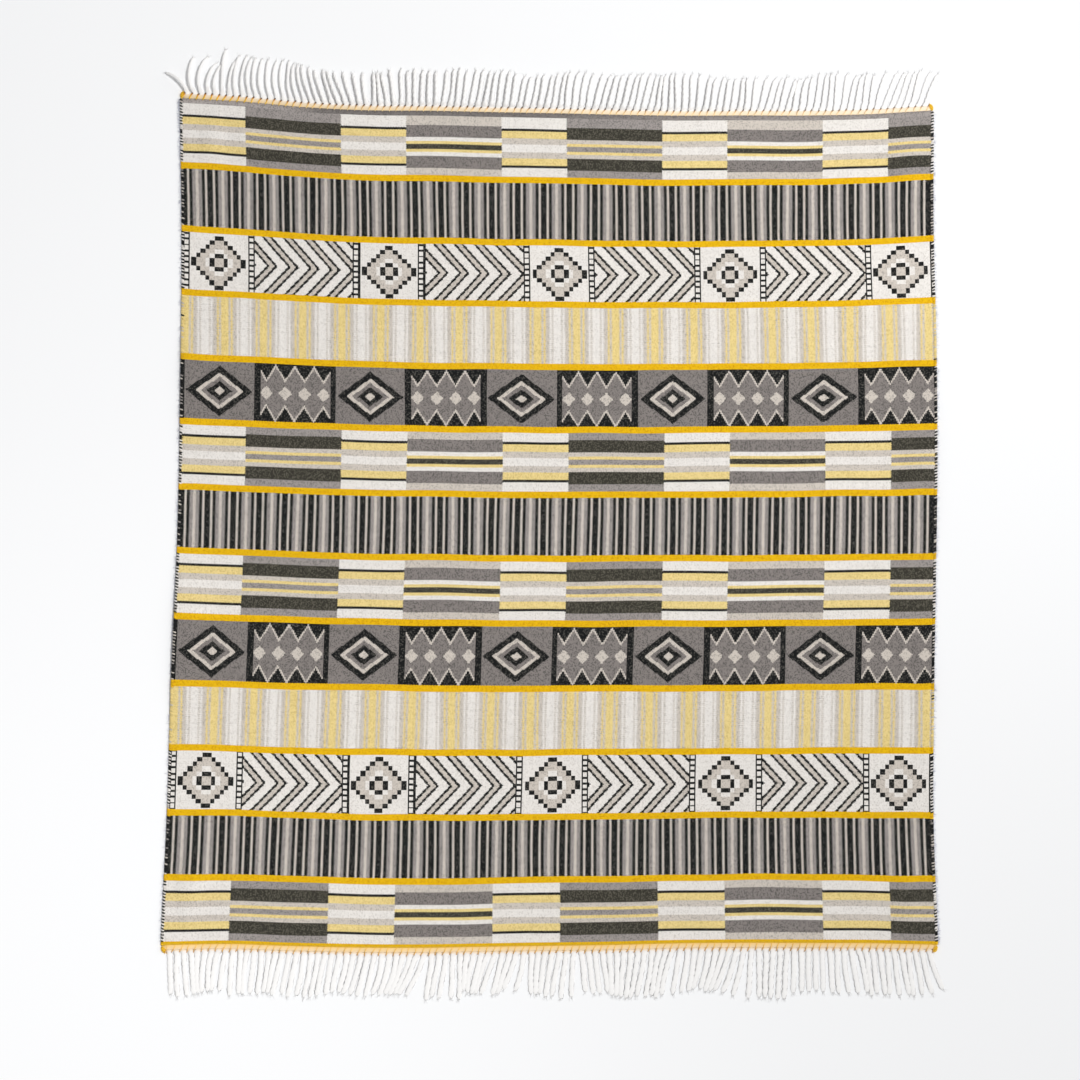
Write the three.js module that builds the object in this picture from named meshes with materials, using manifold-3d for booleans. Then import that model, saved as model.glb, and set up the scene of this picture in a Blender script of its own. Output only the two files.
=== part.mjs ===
// A woven wool bedspread lying open and flat, with a hem strip and a twisted fringe at each end.
// Millimetres. X runs across the cloth, Y towards its top end, and Z up from the surface it lies on.
// The reference point is the middle of the whole piece's footprint, at the height of that surface.
import * as THREE from "three";
import { mergeVertices } from "three/addons/utils/BufferGeometryUtils.js";
import Module from "manifold-3d";

const wasm = await Module();
wasm.setup();

// Driving dimensions
const CLOTH_WIDTH = 1500;
const CLOTH_LENGTH = 1658;
const CLOTH_THICK = 3;
const SEAM_GAP = 0.3;
const HEM_DEPTH = 11;
const HEM_INSET = 9.5;
const STRANDS = 108;
const STRAND_INSET = 16;
const STRAND_FOOT = 7.2;
const STRAND_CROWN = 4.4;
const STRAND_HIGH = 6.6;
const STRAND_SINK = 3;
const STRAND_STEPS = 3;
const STRAND_APART = 1;
const TIE_HALF_WIDE = 4.4;
const TIE_HALF_DEEP = 6.5;
const TIE_HIGH = 5;

// How far each side edge stands out to the right of straight, and how far the weft rises at each side,
// at stations evenly spaced from the top end to the bottom end.
const OUTLINE = [
  { left: -8, right: 1, leftRise: 32, rightRise: 4 },
  { left: -3, right: -1, leftRise: 31, rightRise: 8 },
  { left: -2, right: 3, leftRise: 23, rightRise: 8 },
  { left: -4, right: 2, leftRise: 17, rightRise: 6 },
  { left: -9, right: -2, leftRise: 17, rightRise: 4 },
  { left: -18, right: -8, leftRise: 11, rightRise: 5 },
  { left: -24, right: -10, leftRise: 9, rightRise: 3 },
  { left: -34, right: -3, leftRise: 2, rightRise: 3 },
];
const LEFT_RISE_REACH = 750;
const RIGHT_RISE_REACH = 650;

// How far each end's wavy line stands up from that, at stations evenly spaced from left to right. A wave dies
// out over its reach along the cloth.
const TOP_WAVE = [0, 2, -1.5, -1.5, 2, 2, 0.5, -2.5, -4.6, -4.6, -5.5, -3.8, 2];
const BOTTOM_WAVE = [0, 2.8, -0.6, -3.2, -3.5, -1.2, 0.6, 2.4, 5.4, 6, 5, 3.8, 0];
const WAVE_REACH = 650;

// Soft ridges where the cloth lifts off the surface: the middle of each from the left edge and the top end,
// its half width and half length, its height, and its turn in degrees.
const RIDGES = [
  { across: 62, along: 92, wide: 34, long: 84, high: 3.5, turn: 4 },
  { across: 132, along: 84, wide: 36, long: 76, high: 2.5, turn: -6 },
  { across: 1448, along: 112, wide: 44, long: 104, high: 5, turn: -3 },
  { across: 0, along: 560, wide: 70, long: 190, high: 3.5, turn: 0 },
  { across: 6, along: 1060, wide: 84, long: 210, high: 6, turn: 5 },
  { across: 56, along: 1540, wide: 40, long: 110, high: 4, turn: 3 },
  { across: 1440, along: 1548, wide: 42, long: 104, high: 4, turn: -4 },
  { across: 1500, along: 700, wide: 78, long: 230, high: 5, turn: 0 },
  { across: 1494, along: 1180, wide: 66, long: 170, high: 3.5, turn: -5 },
  { across: 430, along: 520, wide: 240, long: 120, high: 2.2, turn: 24 },
  { across: 1080, along: 1180, wide: 260, long: 130, high: 2.2, turn: 18 },
  { across: 1010, along: 300, wide: 210, long: 100, high: 1.8, turn: -20 },
  { across: 420, along: 1300, wide: 220, long: 110, high: 1.8, turn: -14 },
];
const END_FLAT = 50;

// How the strands of each end lie: the distance across, the turn where a strand leaves the hem, the turn at its
// tip, and its length. Turns are in degrees from straight out of the end, positive to the right.
const TOP_STRANDS = [
  [0, -22, -72, 62], [16, -22, -72, 62], [30, -26, 28, 74], [43, -22, 42, 76], [57, -18, 42, 66],
  [71, -16, 38, 64], [85, -4, 6, 92], [98, -6, 30, 72], [112, -14, 22, 84], [130, -16, 24, 82],
  [165, -22, 16, 82], [220, -20, 14, 78], [270, -26, -10, 76], [313, -20, -16, 66], [342, -18, -20, 66],
  [370, -14, -8, 64], [385, 6, -8, 66], [410, -12, -16, 66], [437, -2, -4, 70], [480, -6, 4, 70],
  [507, 0, 0, 70], [533, 12, 2, 74], [562, 4, 8, 72], [611, 8, 8, 70], [640, 4, 4, 70],
  [670, 10, 8, 62], [725, 12, 8, 66], [780, 0, 14, 70], [850, 12, 14, 70], [930, 12, 12, 70],
  [990, -2, 0, 72], [1052, 5, 14, 64], [1107, 6, 8, 64], [1136, 6, -4, 64], [1161, 6, 26, 68],
  [1191, 12, 16, 66], [1230, 2, 22, 62], [1257, 12, 4, 70], [1312, 4, 2, 74], [1339, 6, 24, 68],
  [1369, 6, 2, 70], [1395, 10, 32, 74], [1425, 20, 24, 72], [1452, 16, 12, 74], [1480, 14, 26, 68],
  [1500, 16, 28, 68],
];
const BOTTOM_STRANDS = [
  [0, 0, -2, 82], [38, 0, 6, 88], [52, 5, 12, 84], [75, -12, 4, 82], [103, -14, 4, 84],
  [118, -20, -8, 80], [145, -2, 3, 88], [170, -14, -8, 82], [200, 0, -8, 82], [230, -14, -12, 84],
  [290, -4, -16, 88], [335, -12, -8, 80], [360, -8, -22, 78], [415, -12, -14, 84], [440, -4, -24, 82],
  [508, -20, -34, 88], [520, -6, -8, 90], [550, -4, -12, 86], [578, -2, 14, 88], [592, -14, -2, 76],
  [645, -20, -26, 86], [660, -12, -12, 88], [695, -15, -26, 76], [712, 0, -2, 80], [765, -16, -8, 88],
  [792, -12, 2, 92], [806, 6, 2, 80], [852, 2, 16, 84], [875, 0, 2, 88], [905, -6, -10, 92],
  [960, -8, -12, 92], [985, -26, -6, 96], [1025, -2, -14, 80], [1080, -14, -16, 84],
  [1107, -12, -30, 86], [1120, -14, -20, 96], [1146, 0, 0, 94], [1190, 0, -2, 98], [1215, -4, -6, 98],
  [1230, 3, -2, 80], [1260, -3, 6, 82], [1300, 4, 2, 86], [1327, 1, 14, 88], [1345, 14, 8, 88],
  [1385, 6, 4, 88], [1412, 6, 0, 88], [1425, 10, 12, 90], [1450, 7, 6, 90], [1465, 10, 12, 84],
  [1477, 8, 32, 84], [1500, 8, 28, 74],
];
const LOOSE_TURN = 3.5;
const LOOSE_LENGTH = 3;

const ENDS = [
  { name: "top", out: 1, along: 0, strands: TOP_STRANDS, seed: 11 },
  { name: "bottom", out: -1, along: CLOTH_LENGTH, strands: BOTTOM_STRANDS, seed: 29 },
];

const WOOL_CREAM = "#ebe7e3";
const WOOL_GREY = "#9a9492";
const WOOL_GOLD = "#e6b114";

// A repeatable number from 0 to 1 for a whole number and a seed.
function scatter(index, seed) {
  const wave = Math.sin(index * 12.9898 + seed * 78.233) * 43758.5453;
  return wave - Math.floor(wave);
}

// The value at a share from 0 to 1 of the way through evenly spaced stations, on a smooth curve through them.
function curveAt(stations, share) {
  const last = stations.length - 1;
  const place = Math.min(Math.max(share * last, 0), last);
  const i = Math.min(Math.floor(place), last - 1);
  const t = place - i;
  const at = (k) => stations[Math.min(Math.max(k, 0), last)];
  const startSlope = (at(i + 1) - at(i - 1)) / 2;
  const endSlope = (at(i + 2) - at(i)) / 2;
  const rise = at(i + 1) - at(i);
  return (
    at(i) +
    t * startSlope +
    t * t * (3 * rise - 2 * startSlope - endSlope) +
    t * t * t * (startSlope + endSlope - 2 * rise)
  );
}

function outlineAt(column, along) {
  return curveAt(
    OUTLINE.map((row) => row[column]),
    along / CLOTH_LENGTH,
  );
}

// How far the waves of both ends lift the weft at a place
function waveAt(share, along) {
  const nearTop = 1 - THREE.MathUtils.smoothstep(along, 0, WAVE_REACH);
  const nearBottom = 1 - THREE.MathUtils.smoothstep(CLOTH_LENGTH - along, 0, WAVE_REACH);
  return curveAt(TOP_WAVE, share) * nearTop + curveAt(BOTTOM_WAVE, share) * nearBottom;
}

// The height of the cloth's underside over the surface: round-topped ridges that come down flat at both ends.
function liftAt(across, along) {
  let lift = 0;
  for (const ridge of RIDGES) {
    const turn = THREE.MathUtils.degToRad(ridge.turn);
    const dx = across - ridge.across;
    const dy = along - ridge.along;
    const side = (dx * Math.cos(turn) + dy * Math.sin(turn)) / ridge.wide;
    const way = (dy * Math.cos(turn) - dx * Math.sin(turn)) / ridge.long;
    const inside = Math.max(0, 1 - side * side - way * way);
    lift += ridge.high * inside * inside;
  }
  const fromEnd = Math.min(along, CLOTH_LENGTH - along);
  return lift * THREE.MathUtils.smoothstep(fromEnd, 0, END_FLAT);
}

// The place on the surface of a point given by its distances from the left edge and the top end.
function placeAt(across, along) {
  const left = outlineAt("left", along);
  const right = outlineAt("right", along);
  const share = across / CLOTH_WIDTH;
  const nearLeft = Math.max(0, 1 - across / LEFT_RISE_REACH);
  const nearRight = Math.max(0, 1 - (CLOTH_WIDTH - across) / RIGHT_RISE_REACH);
  return {
    x: across - CLOTH_WIDTH / 2 + left + share * (right - left),
    y:
      CLOTH_LENGTH / 2 -
      along +
      outlineAt("leftRise", along) * nearLeft * nearLeft +
      outlineAt("rightRise", along) * nearRight * nearRight +
      waveAt(share, along),
  };
}

// A box of one unit each way whose points are moved by a function of their three shares from 0 to 1.
function shapedBox(stepsX, stepsY, stepsZ, place) {
  const box = new THREE.BoxGeometry(1, 1, 1, stepsX, stepsY, stepsZ);
  box.deleteAttribute("normal");
  box.deleteAttribute("uv");
  const merged = mergeVertices(box);
  const points = merged.getAttribute("position");
  for (let i = 0; i < points.count; i++) {
    const p = place(points.getX(i) + 0.5, points.getY(i) + 0.5, points.getZ(i) + 0.5);
    points.setXYZ(i, p.x, p.y, p.z);
  }
  return merged;
}

// A share from 0 to 1 that moves its stations towards both ends, so that the edges have the finer steps.
function crowdEnds(share, amount) {
  return share - (amount * Math.sin(2 * Math.PI * share)) / (2 * Math.PI);
}

// The cloth: one thin sheet with its true outline, bowed weft and soft ridges
const CLOTH_STEPS_ACROSS = 42;
const CLOTH_STEPS_ALONG = 34;
const CROWDING_ACROSS = 0.3;
const CROWDING_ALONG = 0.6;

function clothGeometry() {
  return shapedBox(CLOTH_STEPS_ACROSS, CLOTH_STEPS_ALONG, 1, (x, y, z) => {
    const across = CLOTH_WIDTH * crowdEnds(x, CROWDING_ACROSS);
    const along = CLOTH_LENGTH * crowdEnds(1 - y, CROWDING_ALONG);
    return { ...placeAt(across, along), z: liftAt(across, along) + z * CLOTH_THICK };
  });
}

// The hem strip of an end, which follows the cloth's end at a seam's gap
const HEM_STEPS = 60;

function hemGeometry(end) {
  return shapedBox(HEM_STEPS, 1, 1, (x, y, z) => {
    const across = HEM_INSET + x * (CLOTH_WIDTH - 2 * HEM_INSET);
    const place = placeAt(across, end.along);
    const deep = SEAM_GAP + (end.out > 0 ? y : 1 - y) * HEM_DEPTH;
    return { x: place.x, y: place.y + end.out * deep, z: z * CLOTH_THICK };
  });
}

// The row of an end's table at a distance across, on straight lines between its stations.
function strandRow(end, across) {
  const rows = end.strands;
  let i = 0;
  while (i < rows.length - 2 && rows[i + 1][0] < across) i++;
  const t = (across - rows[i][0]) / (rows[i + 1][0] - rows[i][0]);
  return rows[i].map((value, column) => value + t * (rows[i + 1][column] - value));
}

// The line of each strand along the surface: an arc whose direction turns evenly from its root to its tip.
function strandLines(end) {
  const pitch = (CLOTH_WIDTH - 2 * STRAND_INSET) / (STRANDS - 1);
  const lines = [];
  for (let i = 0; i < STRANDS; i++) {
    const across = STRAND_INSET + i * pitch;
    const [, root0, tip0, length0] = strandRow(end, across);
    const rootTurn = root0 + LOOSE_TURN * (2 * scatter(i, end.seed) - 1);
    const tipTurn = tip0 + LOOSE_TURN * (2 * scatter(i, end.seed + 1) - 1);
    const length = length0 + LOOSE_LENGTH * (2 * scatter(i, end.seed + 2) - 1);
    const root = placeAt(across, end.along);
    const start = SEAM_GAP + HEM_DEPTH - STRAND_SINK;
    const line = [{ x: root.x, y: root.y + end.out * start }];
    for (let k = 0; k < STRAND_STEPS; k++) {
      const turn = rootTurn + ((k + 0.5) / STRAND_STEPS) * (tipTurn - rootTurn);
      const angle = THREE.MathUtils.degToRad(turn);
      const from = line[line.length - 1];
      const step = (STRAND_SINK + length) / STRAND_STEPS;
      line.push({
        x: from.x + step * Math.sin(angle),
        y: from.y + end.out * step * Math.cos(angle),
      });
    }
    lines.push(line);
  }
  keepApart(lines);
  return lines;
}

// Pushes neighbouring strands apart, station by station, until each pair leaves a gap.
const APART_ROUNDS = 60;

function keepApart(lines) {
  for (let k = 1; k < lines[0].length; k++) {
    for (let round = 0; round < APART_ROUNDS; round++) {
      for (let i = 0; i + 1 < lines.length; i++) {
        const here = lines[i][k];
        const next = lines[i + 1][k];
        const reach = Math.hypot(here.x - lines[i][k - 1].x, here.y - lines[i][k - 1].y);
        const straight = Math.abs(here.y - lines[i][k - 1].y) / reach;
        const least = (STRAND_FOOT + STRAND_APART) / Math.max(straight, 0.5);
        const short = least - (next.x - here.x);
        if (short > 0) {
          here.x -= short / 2;
          next.x += short / 2;
        }
      }
    }
  }
}

// One strand with a flat foot on the surface and a narrower crown, along its line
function strandGeometry(line) {
  return shapedBox(1, line.length - 1, 1, (x, y, z) => {
    const k = Math.round(y * (line.length - 1));
    const before = line[Math.max(k - 1, 0)];
    const after = line[Math.min(k + 1, line.length - 1)];
    const reach = Math.hypot(after.x - before.x, after.y - before.y);
    const wide = z > 0.5 ? STRAND_CROWN : STRAND_FOOT;
    const side = (x - 0.5) * wide;
    return {
      x: line[k].x + (side * (after.y - before.y)) / reach,
      y: line[k].y - (side * (after.x - before.x)) / reach,
      z: z * STRAND_HIGH,
    };
  });
}

// A closed geometry as a solid, turned face out where its points were laid down mirrored
function solidOf(geometry) {
  const mesh = (triVerts) =>
    new wasm.Mesh({
      numProp: 3,
      vertProperties: geometry.getAttribute("position").array,
      triVerts,
    });
  const faces = new Uint32Array(geometry.index.array);
  const solid = new wasm.Manifold(mesh(faces));
  if (solid.volume() > 0) return solid;
  return new wasm.Manifold(mesh(faces.slice().reverse()));
}

function geometryOf(solid) {
  const mesh = solid.getMesh();
  const points = new Float32Array(mesh.numVert * 3);
  for (let i = 0; i < mesh.numVert; i++) {
    points.set(mesh.vertProperties.subarray(i * mesh.numProp, i * mesh.numProp + 3), i * 3);
  }
  return new THREE.BufferGeometry()
    .setAttribute("position", new THREE.BufferAttribute(points, 3))
    .setIndex(new THREE.BufferAttribute(mesh.triVerts, 1));
}

// The fringe of an end: its strands grow out of the hem strip as one piece
function fringeGeometry(end) {
  const strands = strandLines(end).map((line) => solidOf(strandGeometry(line)));
  return geometryOf(wasm.Manifold.union([solidOf(hemGeometry(end)), ...strands]));
}

// The knot that ties off the hem yarn at a corner: a small egg with a flat spot underneath
const TIE_SIDES = 10;
const TIE_RINGS = 6;
const TIE_FLAT = 0.55;

function tieGeometry(end, side) {
  const ball = new THREE.SphereGeometry(1, TIE_SIDES, TIE_RINGS);
  ball.deleteAttribute("normal");
  ball.deleteAttribute("uv");
  ball.rotateX(Math.PI / 2);
  const across = side * TIE_HALF_WIDE + (side > 0 ? 0 : CLOTH_WIDTH);
  const corner = placeAt(across, end.along);
  const points = ball.getAttribute("position");
  for (let i = 0; i < points.count; i++) {
    const low = Math.max(points.getZ(i), -TIE_FLAT);
    points.setXYZ(
      i,
      corner.x + points.getX(i) * TIE_HALF_WIDE,
      corner.y + end.out * (SEAM_GAP + TIE_HALF_DEEP * (1 + points.getY(i))),
      ((low + TIE_FLAT) / (1 + TIE_FLAT)) * TIE_HIGH,
    );
  }
  return geometryOf(solidOf(mergeVertices(ball)));
}

function piece(name, geometry, colour) {
  const material = new THREE.MeshStandardMaterial({
    color: colour,
    roughness: 0.95,
    metalness: 0,
  });
  const mesh = new THREE.Mesh(geometry, material);
  mesh.name = name;
  return mesh;
}

const bedspread = new THREE.Group();
bedspread.add(piece("cloth", clothGeometry(), WOOL_GREY));
for (const end of ENDS) {
  bedspread.add(piece(`fringe_${end.name}`, fringeGeometry(end), WOOL_CREAM));
  bedspread.add(piece(`tie_${end.name}_left`, tieGeometry(end, 1), WOOL_GOLD));
  bedspread.add(piece(`tie_${end.name}_right`, tieGeometry(end, -1), WOOL_GOLD));
}

// The reference point goes to the middle of the footprint
const footprint = new THREE.Box3().setFromObject(bedspread);
const middle = footprint.getCenter(new THREE.Vector3());
bedspread.position.set(-middle.x, -middle.y, -footprint.min.z);

export default bedspread;
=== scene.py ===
"""A woven wool bedspread lying open and flat: its cloth, side stitching, hems, fringes and corner knots.

Metres. X runs across the cloth, Y towards its top end, and Z up from the surface it lies on.
"""

import math

import bpy
import numpy as np
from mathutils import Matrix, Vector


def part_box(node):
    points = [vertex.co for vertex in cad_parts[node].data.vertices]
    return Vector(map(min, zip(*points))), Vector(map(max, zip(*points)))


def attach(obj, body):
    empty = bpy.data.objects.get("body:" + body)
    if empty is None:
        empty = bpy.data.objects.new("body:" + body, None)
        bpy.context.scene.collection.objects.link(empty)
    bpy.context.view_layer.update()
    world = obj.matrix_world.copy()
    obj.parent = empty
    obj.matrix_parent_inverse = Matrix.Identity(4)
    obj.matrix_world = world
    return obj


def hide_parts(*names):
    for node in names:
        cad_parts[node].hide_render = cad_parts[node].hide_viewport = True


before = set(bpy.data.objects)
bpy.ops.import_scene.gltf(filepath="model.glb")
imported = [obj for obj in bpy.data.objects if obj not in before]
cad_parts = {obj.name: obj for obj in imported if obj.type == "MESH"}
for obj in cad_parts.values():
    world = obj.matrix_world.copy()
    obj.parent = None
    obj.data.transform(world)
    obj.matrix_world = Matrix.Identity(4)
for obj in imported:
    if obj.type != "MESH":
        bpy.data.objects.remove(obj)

bl_info = {
    "name": "Fringed wool bedspread",
    "version": (1, 0, 0),
    "blender": (4, 5, 0),
    "location": "3D View > Sidebar > Bedspread",
    "description": "Builds a woven wool bedspread with stitched sides and twisted fringes",
    "category": "Add Mesh",
}

# Sizes that the solids share, in metres
WIDTH = 1.500
LENGTH = 1.658
THICK = 0.003
SEAM_GAP = 0.0003
HEM_DEPTH = 0.011
STRANDS = 108
STRAND_INSET = 0.016
STRAND_PITCH = (WIDTH - 2 * STRAND_INSET) / (STRANDS - 1)
STRAND_SINK = 0.003
STRAND_STEPS = 3
STRAND_FOOT = 0.0072
STRAND_APART = 0.001
TIE_HALF_WIDE = 0.0044
TIE_HALF_DEEP = 0.0065
TIE_HIGH = 0.005
MM = 0.001

# How far each side edge stands out to the right of straight, and how far the weft rises at each side, in
# millimetres: left edge, right edge, left rise, right rise, from the top end to the bottom end.
OUTLINE = MM * np.array(
    [
        (-8, 1, 32, 4),
        (-3, -1, 31, 8),
        (-2, 3, 23, 8),
        (-4, 2, 17, 6),
        (-9, -2, 17, 4),
        (-18, -8, 11, 5),
        (-24, -10, 9, 3),
        (-34, -3, 2, 3),
    ]
)
LEFT_RISE_REACH = 0.750
RIGHT_RISE_REACH = 0.650

# How far the wavy line of each end stands up from that, in millimetres, at stations evenly spaced from left
# to right. A wave dies out over its reach along the cloth.
TOP_WAVE = MM * np.array((0, 2, -1.5, -1.5, 2, 2, 0.5, -2.5, -4.6, -4.6, -5.5, -3.8, 2))
BOTTOM_WAVE = MM * np.array((0, 2.8, -0.6, -3.2, -3.5, -1.2, 0.6, 2.4, 5.4, 6, 5, 3.8, 0))
WAVE_REACH = 0.650

# Soft ridges where the cloth lifts off the surface, in millimetres and degrees: across, along, half width,
# half length, height and turn.
RIDGES = (
    (62, 92, 34, 84, 3.5, 4),
    (132, 84, 36, 76, 2.5, -6),
    (1448, 112, 44, 104, 5, -3),
    (0, 560, 70, 190, 3.5, 0),
    (6, 1060, 84, 210, 6, 5),
    (56, 1540, 40, 110, 4, 3),
    (1440, 1548, 42, 104, 4, -4),
    (1500, 700, 78, 230, 5, 0),
    (1494, 1180, 66, 170, 3.5, -5),
    (430, 520, 240, 120, 2.2, 24),
    (1080, 1180, 260, 130, 2.2, 18),
    (1010, 300, 210, 100, 1.8, -20),
    (420, 1300, 220, 110, 1.8, -14),
)
END_FLAT = 0.050

# How the strands of each end lie, in millimetres and degrees: across, turn at the root, turn at the tip and
# length.
TOP_STRANDS = np.array(
    [
        (0, -22, -72, 62), (16, -22, -72, 62), (30, -26, 28, 74), (43, -22, 42, 76), (57, -18, 42, 66),
        (71, -16, 38, 64), (85, -4, 6, 92), (98, -6, 30, 72), (112, -14, 22, 84), (130, -16, 24, 82),
        (165, -22, 16, 82), (220, -20, 14, 78), (270, -26, -10, 76), (313, -20, -16, 66),
        (342, -18, -20, 66), (370, -14, -8, 64), (385, 6, -8, 66), (410, -12, -16, 66),
        (437, -2, -4, 70), (480, -6, 4, 70), (507, 0, 0, 70), (533, 12, 2, 74), (562, 4, 8, 72),
        (611, 8, 8, 70), (640, 4, 4, 70), (670, 10, 8, 62), (725, 12, 8, 66), (780, 0, 14, 70),
        (850, 12, 14, 70), (930, 12, 12, 70), (990, -2, 0, 72), (1052, 5, 14, 64), (1107, 6, 8, 64),
        (1136, 6, -4, 64), (1161, 6, 26, 68), (1191, 12, 16, 66), (1230, 2, 22, 62), (1257, 12, 4, 70),
        (1312, 4, 2, 74), (1339, 6, 24, 68), (1369, 6, 2, 70), (1395, 10, 32, 74), (1425, 20, 24, 72),
        (1452, 16, 12, 74), (1480, 14, 26, 68), (1500, 16, 28, 68),
    ]
)
BOTTOM_STRANDS = np.array(
    [
        (0, 0, -2, 82), (38, 0, 6, 88), (52, 5, 12, 84), (75, -12, 4, 82), (103, -14, 4, 84),
        (118, -20, -8, 80), (145, -2, 3, 88), (170, -14, -8, 82), (200, 0, -8, 82), (230, -14, -12, 84),
        (290, -4, -16, 88), (335, -12, -8, 80), (360, -8, -22, 78), (415, -12, -14, 84),
        (440, -4, -24, 82), (508, -20, -34, 88), (520, -6, -8, 90), (550, -4, -12, 86),
        (578, -2, 14, 88), (592, -14, -2, 76), (645, -20, -26, 86), (660, -12, -12, 88),
        (695, -15, -26, 76), (712, 0, -2, 80), (765, -16, -8, 88), (792, -12, 2, 92), (806, 6, 2, 80),
        (852, 2, 16, 84), (875, 0, 2, 88), (905, -6, -10, 92), (960, -8, -12, 92), (985, -26, -6, 96),
        (1025, -2, -14, 80), (1080, -14, -16, 84), (1107, -12, -30, 86), (1120, -14, -20, 96),
        (1146, 0, 0, 94), (1190, 0, -2, 98), (1215, -4, -6, 98), (1230, 3, -2, 80), (1260, -3, 6, 82),
        (1300, 4, 2, 86), (1327, 1, 14, 88), (1345, 14, 8, 88), (1385, 6, 4, 88), (1412, 6, 0, 88),
        (1425, 10, 12, 90), (1450, 7, 6, 90), (1465, 10, 12, 84), (1477, 8, 32, 84), (1500, 8, 28, 74),
    ]
)
LOOSE_TURN = 3.5
LOOSE_LENGTH = 3.0
APART_ROUNDS = 60

# The strands' sections: the flat oval at the hem, the plies in shares of the radius, the clear height under
# a strand, and how high and how far from the left the top end's strands arch
ROOT_HALF_WIDE = 0.0067
ROOT_HALF_HIGH = 0.0013
PLY_RADIUS = 0.82
PLY_APART = 0.18
STRAND_CLEAR = 0.0003
ARCH_HIGH = 0.0135
ARCH_REACH = 0.42

# The two ends: which way out is, how far along the cloth it is, its strands, and the seed of its looseness
ENDS = {
    "top": (1, 0.0, TOP_STRANDS, 11),
    "bottom": (-1, LENGTH, BOTTOM_STRANDS, 29),
}

# The yarns in the order of their numbers, from black to slate. Each has its main colour, the colour of its
# flecks, and the share of flecks.
YARNS = (
    ((19, 20, 20), (74, 72, 68), 0.22),
    ((55, 53, 45), (88, 84, 74), 0.34),
    ((155, 148, 144), (124, 119, 116), 0.28),
    ((203, 194, 184), (172, 164, 155), 0.20),
    ((230, 225, 219), (212, 206, 199), 0.18),
    ((230, 207, 140), (212, 187, 119), 0.26),
    ((229, 181, 12), (210, 156, 4), 0.25),
    ((133, 126, 122), (98, 94, 91), 0.30),
)
YARN_COUNT = len(YARNS)
BLACK, CHARCOAL, MID, LIGHT, CREAM, PALE, GOLD, SLATE = range(YARN_COUNT)

# The kinds of band, their order from the top end, and their sizes. A gold stripe follows each band.
BLOCKS, PALE_LINES, DARK_LINES, ON_GREY, ON_CREAM = range(5)
BANDS = (
    BLOCKS, DARK_LINES, ON_CREAM, PALE_LINES, ON_GREY, BLOCKS, DARK_LINES,
    BLOCKS, ON_GREY, PALE_LINES, ON_CREAM, DARK_LINES, BLOCKS,
)
FIRST_BAND = 0.015
BAND_HIGH = 0.114
BAND_STEP = 0.1264
HALF_GOLD = 0.0062
END_STRIPE = 0.010

# Where the middles of the gold stripes lie along the cloth, as its bands are stretched a little unevenly,
# and where they lie in the pattern
GOLD_MIDDLES = MM * np.array(
    (136, 261.5, 385, 510, 636, 765, 892, 1021, 1150, 1276, 1403, 1527, 1656)
)
EVEN_MIDDLES = FIRST_BAND + BAND_HIGH + HALF_GOLD + BAND_STEP * np.arange(len(BANDS))

# How finely the meshes are divided
CLOTH_ROWS = 206
CLOTH_COLUMNS = 188
HEM_RINGS = 170
HEM_SIDES = 8
YARN_SIDES = 6
STRAND_SIDES = 12


def scatter(index, seed):
    """A repeatable number from 0 to 1 for a whole number and a seed: the fraction of a long sine."""
    wave = np.sin(np.asarray(index) * 12.9898 + seed * 78.233) * 43758.5453
    return wave - np.floor(wave)


def smooth(low, high, value):
    """0 below low, 1 above high, and an S-shaped rise of 3t^2 - 2t^3 between them."""
    t = np.clip((value - low) / (high - low), 0, 1)
    return t * t * (3 - 2 * t)


def curve_at(stations, share):
    """The value at a share from 0 to 1 of the way through evenly spaced stations, on a cubic curve."""
    last = len(stations) - 1
    place = np.clip(np.asarray(share) * last, 0, last)
    i = np.minimum(place.astype(int), last - 1)
    t = place - i
    before, here, after, beyond = (stations[np.clip(i + k, 0, last)] for k in (-1, 0, 1, 2))
    start = (after - before) / 2
    end = (beyond - here) / 2
    rise = after - here
    return here + t * start + t**2 * (3 * rise - 2 * start - end) + t**3 * (start + end - 2 * rise)


def around_zero(index, seed):
    """A repeatable number from -1 to 1."""
    return 2 * scatter(index, seed) - 1


def outline_at(column, along):
    """One column of OUTLINE at a distance along the cloth."""
    return curve_at(OUTLINE[:, column], np.asarray(along) / LENGTH)


def wave_at(share, along):
    """How far the waves of both ends lift the weft at a place."""
    near_top = 1 - smooth(0, WAVE_REACH, along)
    near_bottom = 1 - smooth(0, WAVE_REACH, LENGTH - along)
    return curve_at(TOP_WAVE, share) * near_top + curve_at(BOTTOM_WAVE, share) * near_bottom


def lift_at(across, along):
    """Height of the underside: each ridge adds its height times (1 - side^2 - way^2)^2 inside its oval."""
    lift = 0.0
    for row in RIDGES:
        middle, down, wide, long, high = MM * np.array(row[:5])
        turn = math.radians(row[5])
        dx = across - middle
        dy = along - down
        side = (dx * math.cos(turn) + dy * math.sin(turn)) / wide
        way = (dy * math.cos(turn) - dx * math.sin(turn)) / long
        lift = lift + high * np.maximum(0, 1 - side**2 - way**2) ** 2
    return lift * smooth(0, END_FLAT, np.minimum(along, LENGTH - along))


def bare_place(across, along):
    """X and Y before the shift: straight across between the two side edges, with the weft bowed up at each
    side by its rise times the square of the nearness to that side."""
    left = outline_at(0, along)
    right = outline_at(1, along)
    near_left = np.maximum(0, 1 - across / LEFT_RISE_REACH)
    near_right = np.maximum(0, 1 - (WIDTH - across) / RIGHT_RISE_REACH)
    share = across / WIDTH
    x = across - WIDTH / 2 + left + share * (right - left)
    rise = outline_at(2, along) * near_left**2 + outline_at(3, along) * near_right**2
    return x, LENGTH / 2 - along + rise + wave_at(share, along)


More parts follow.
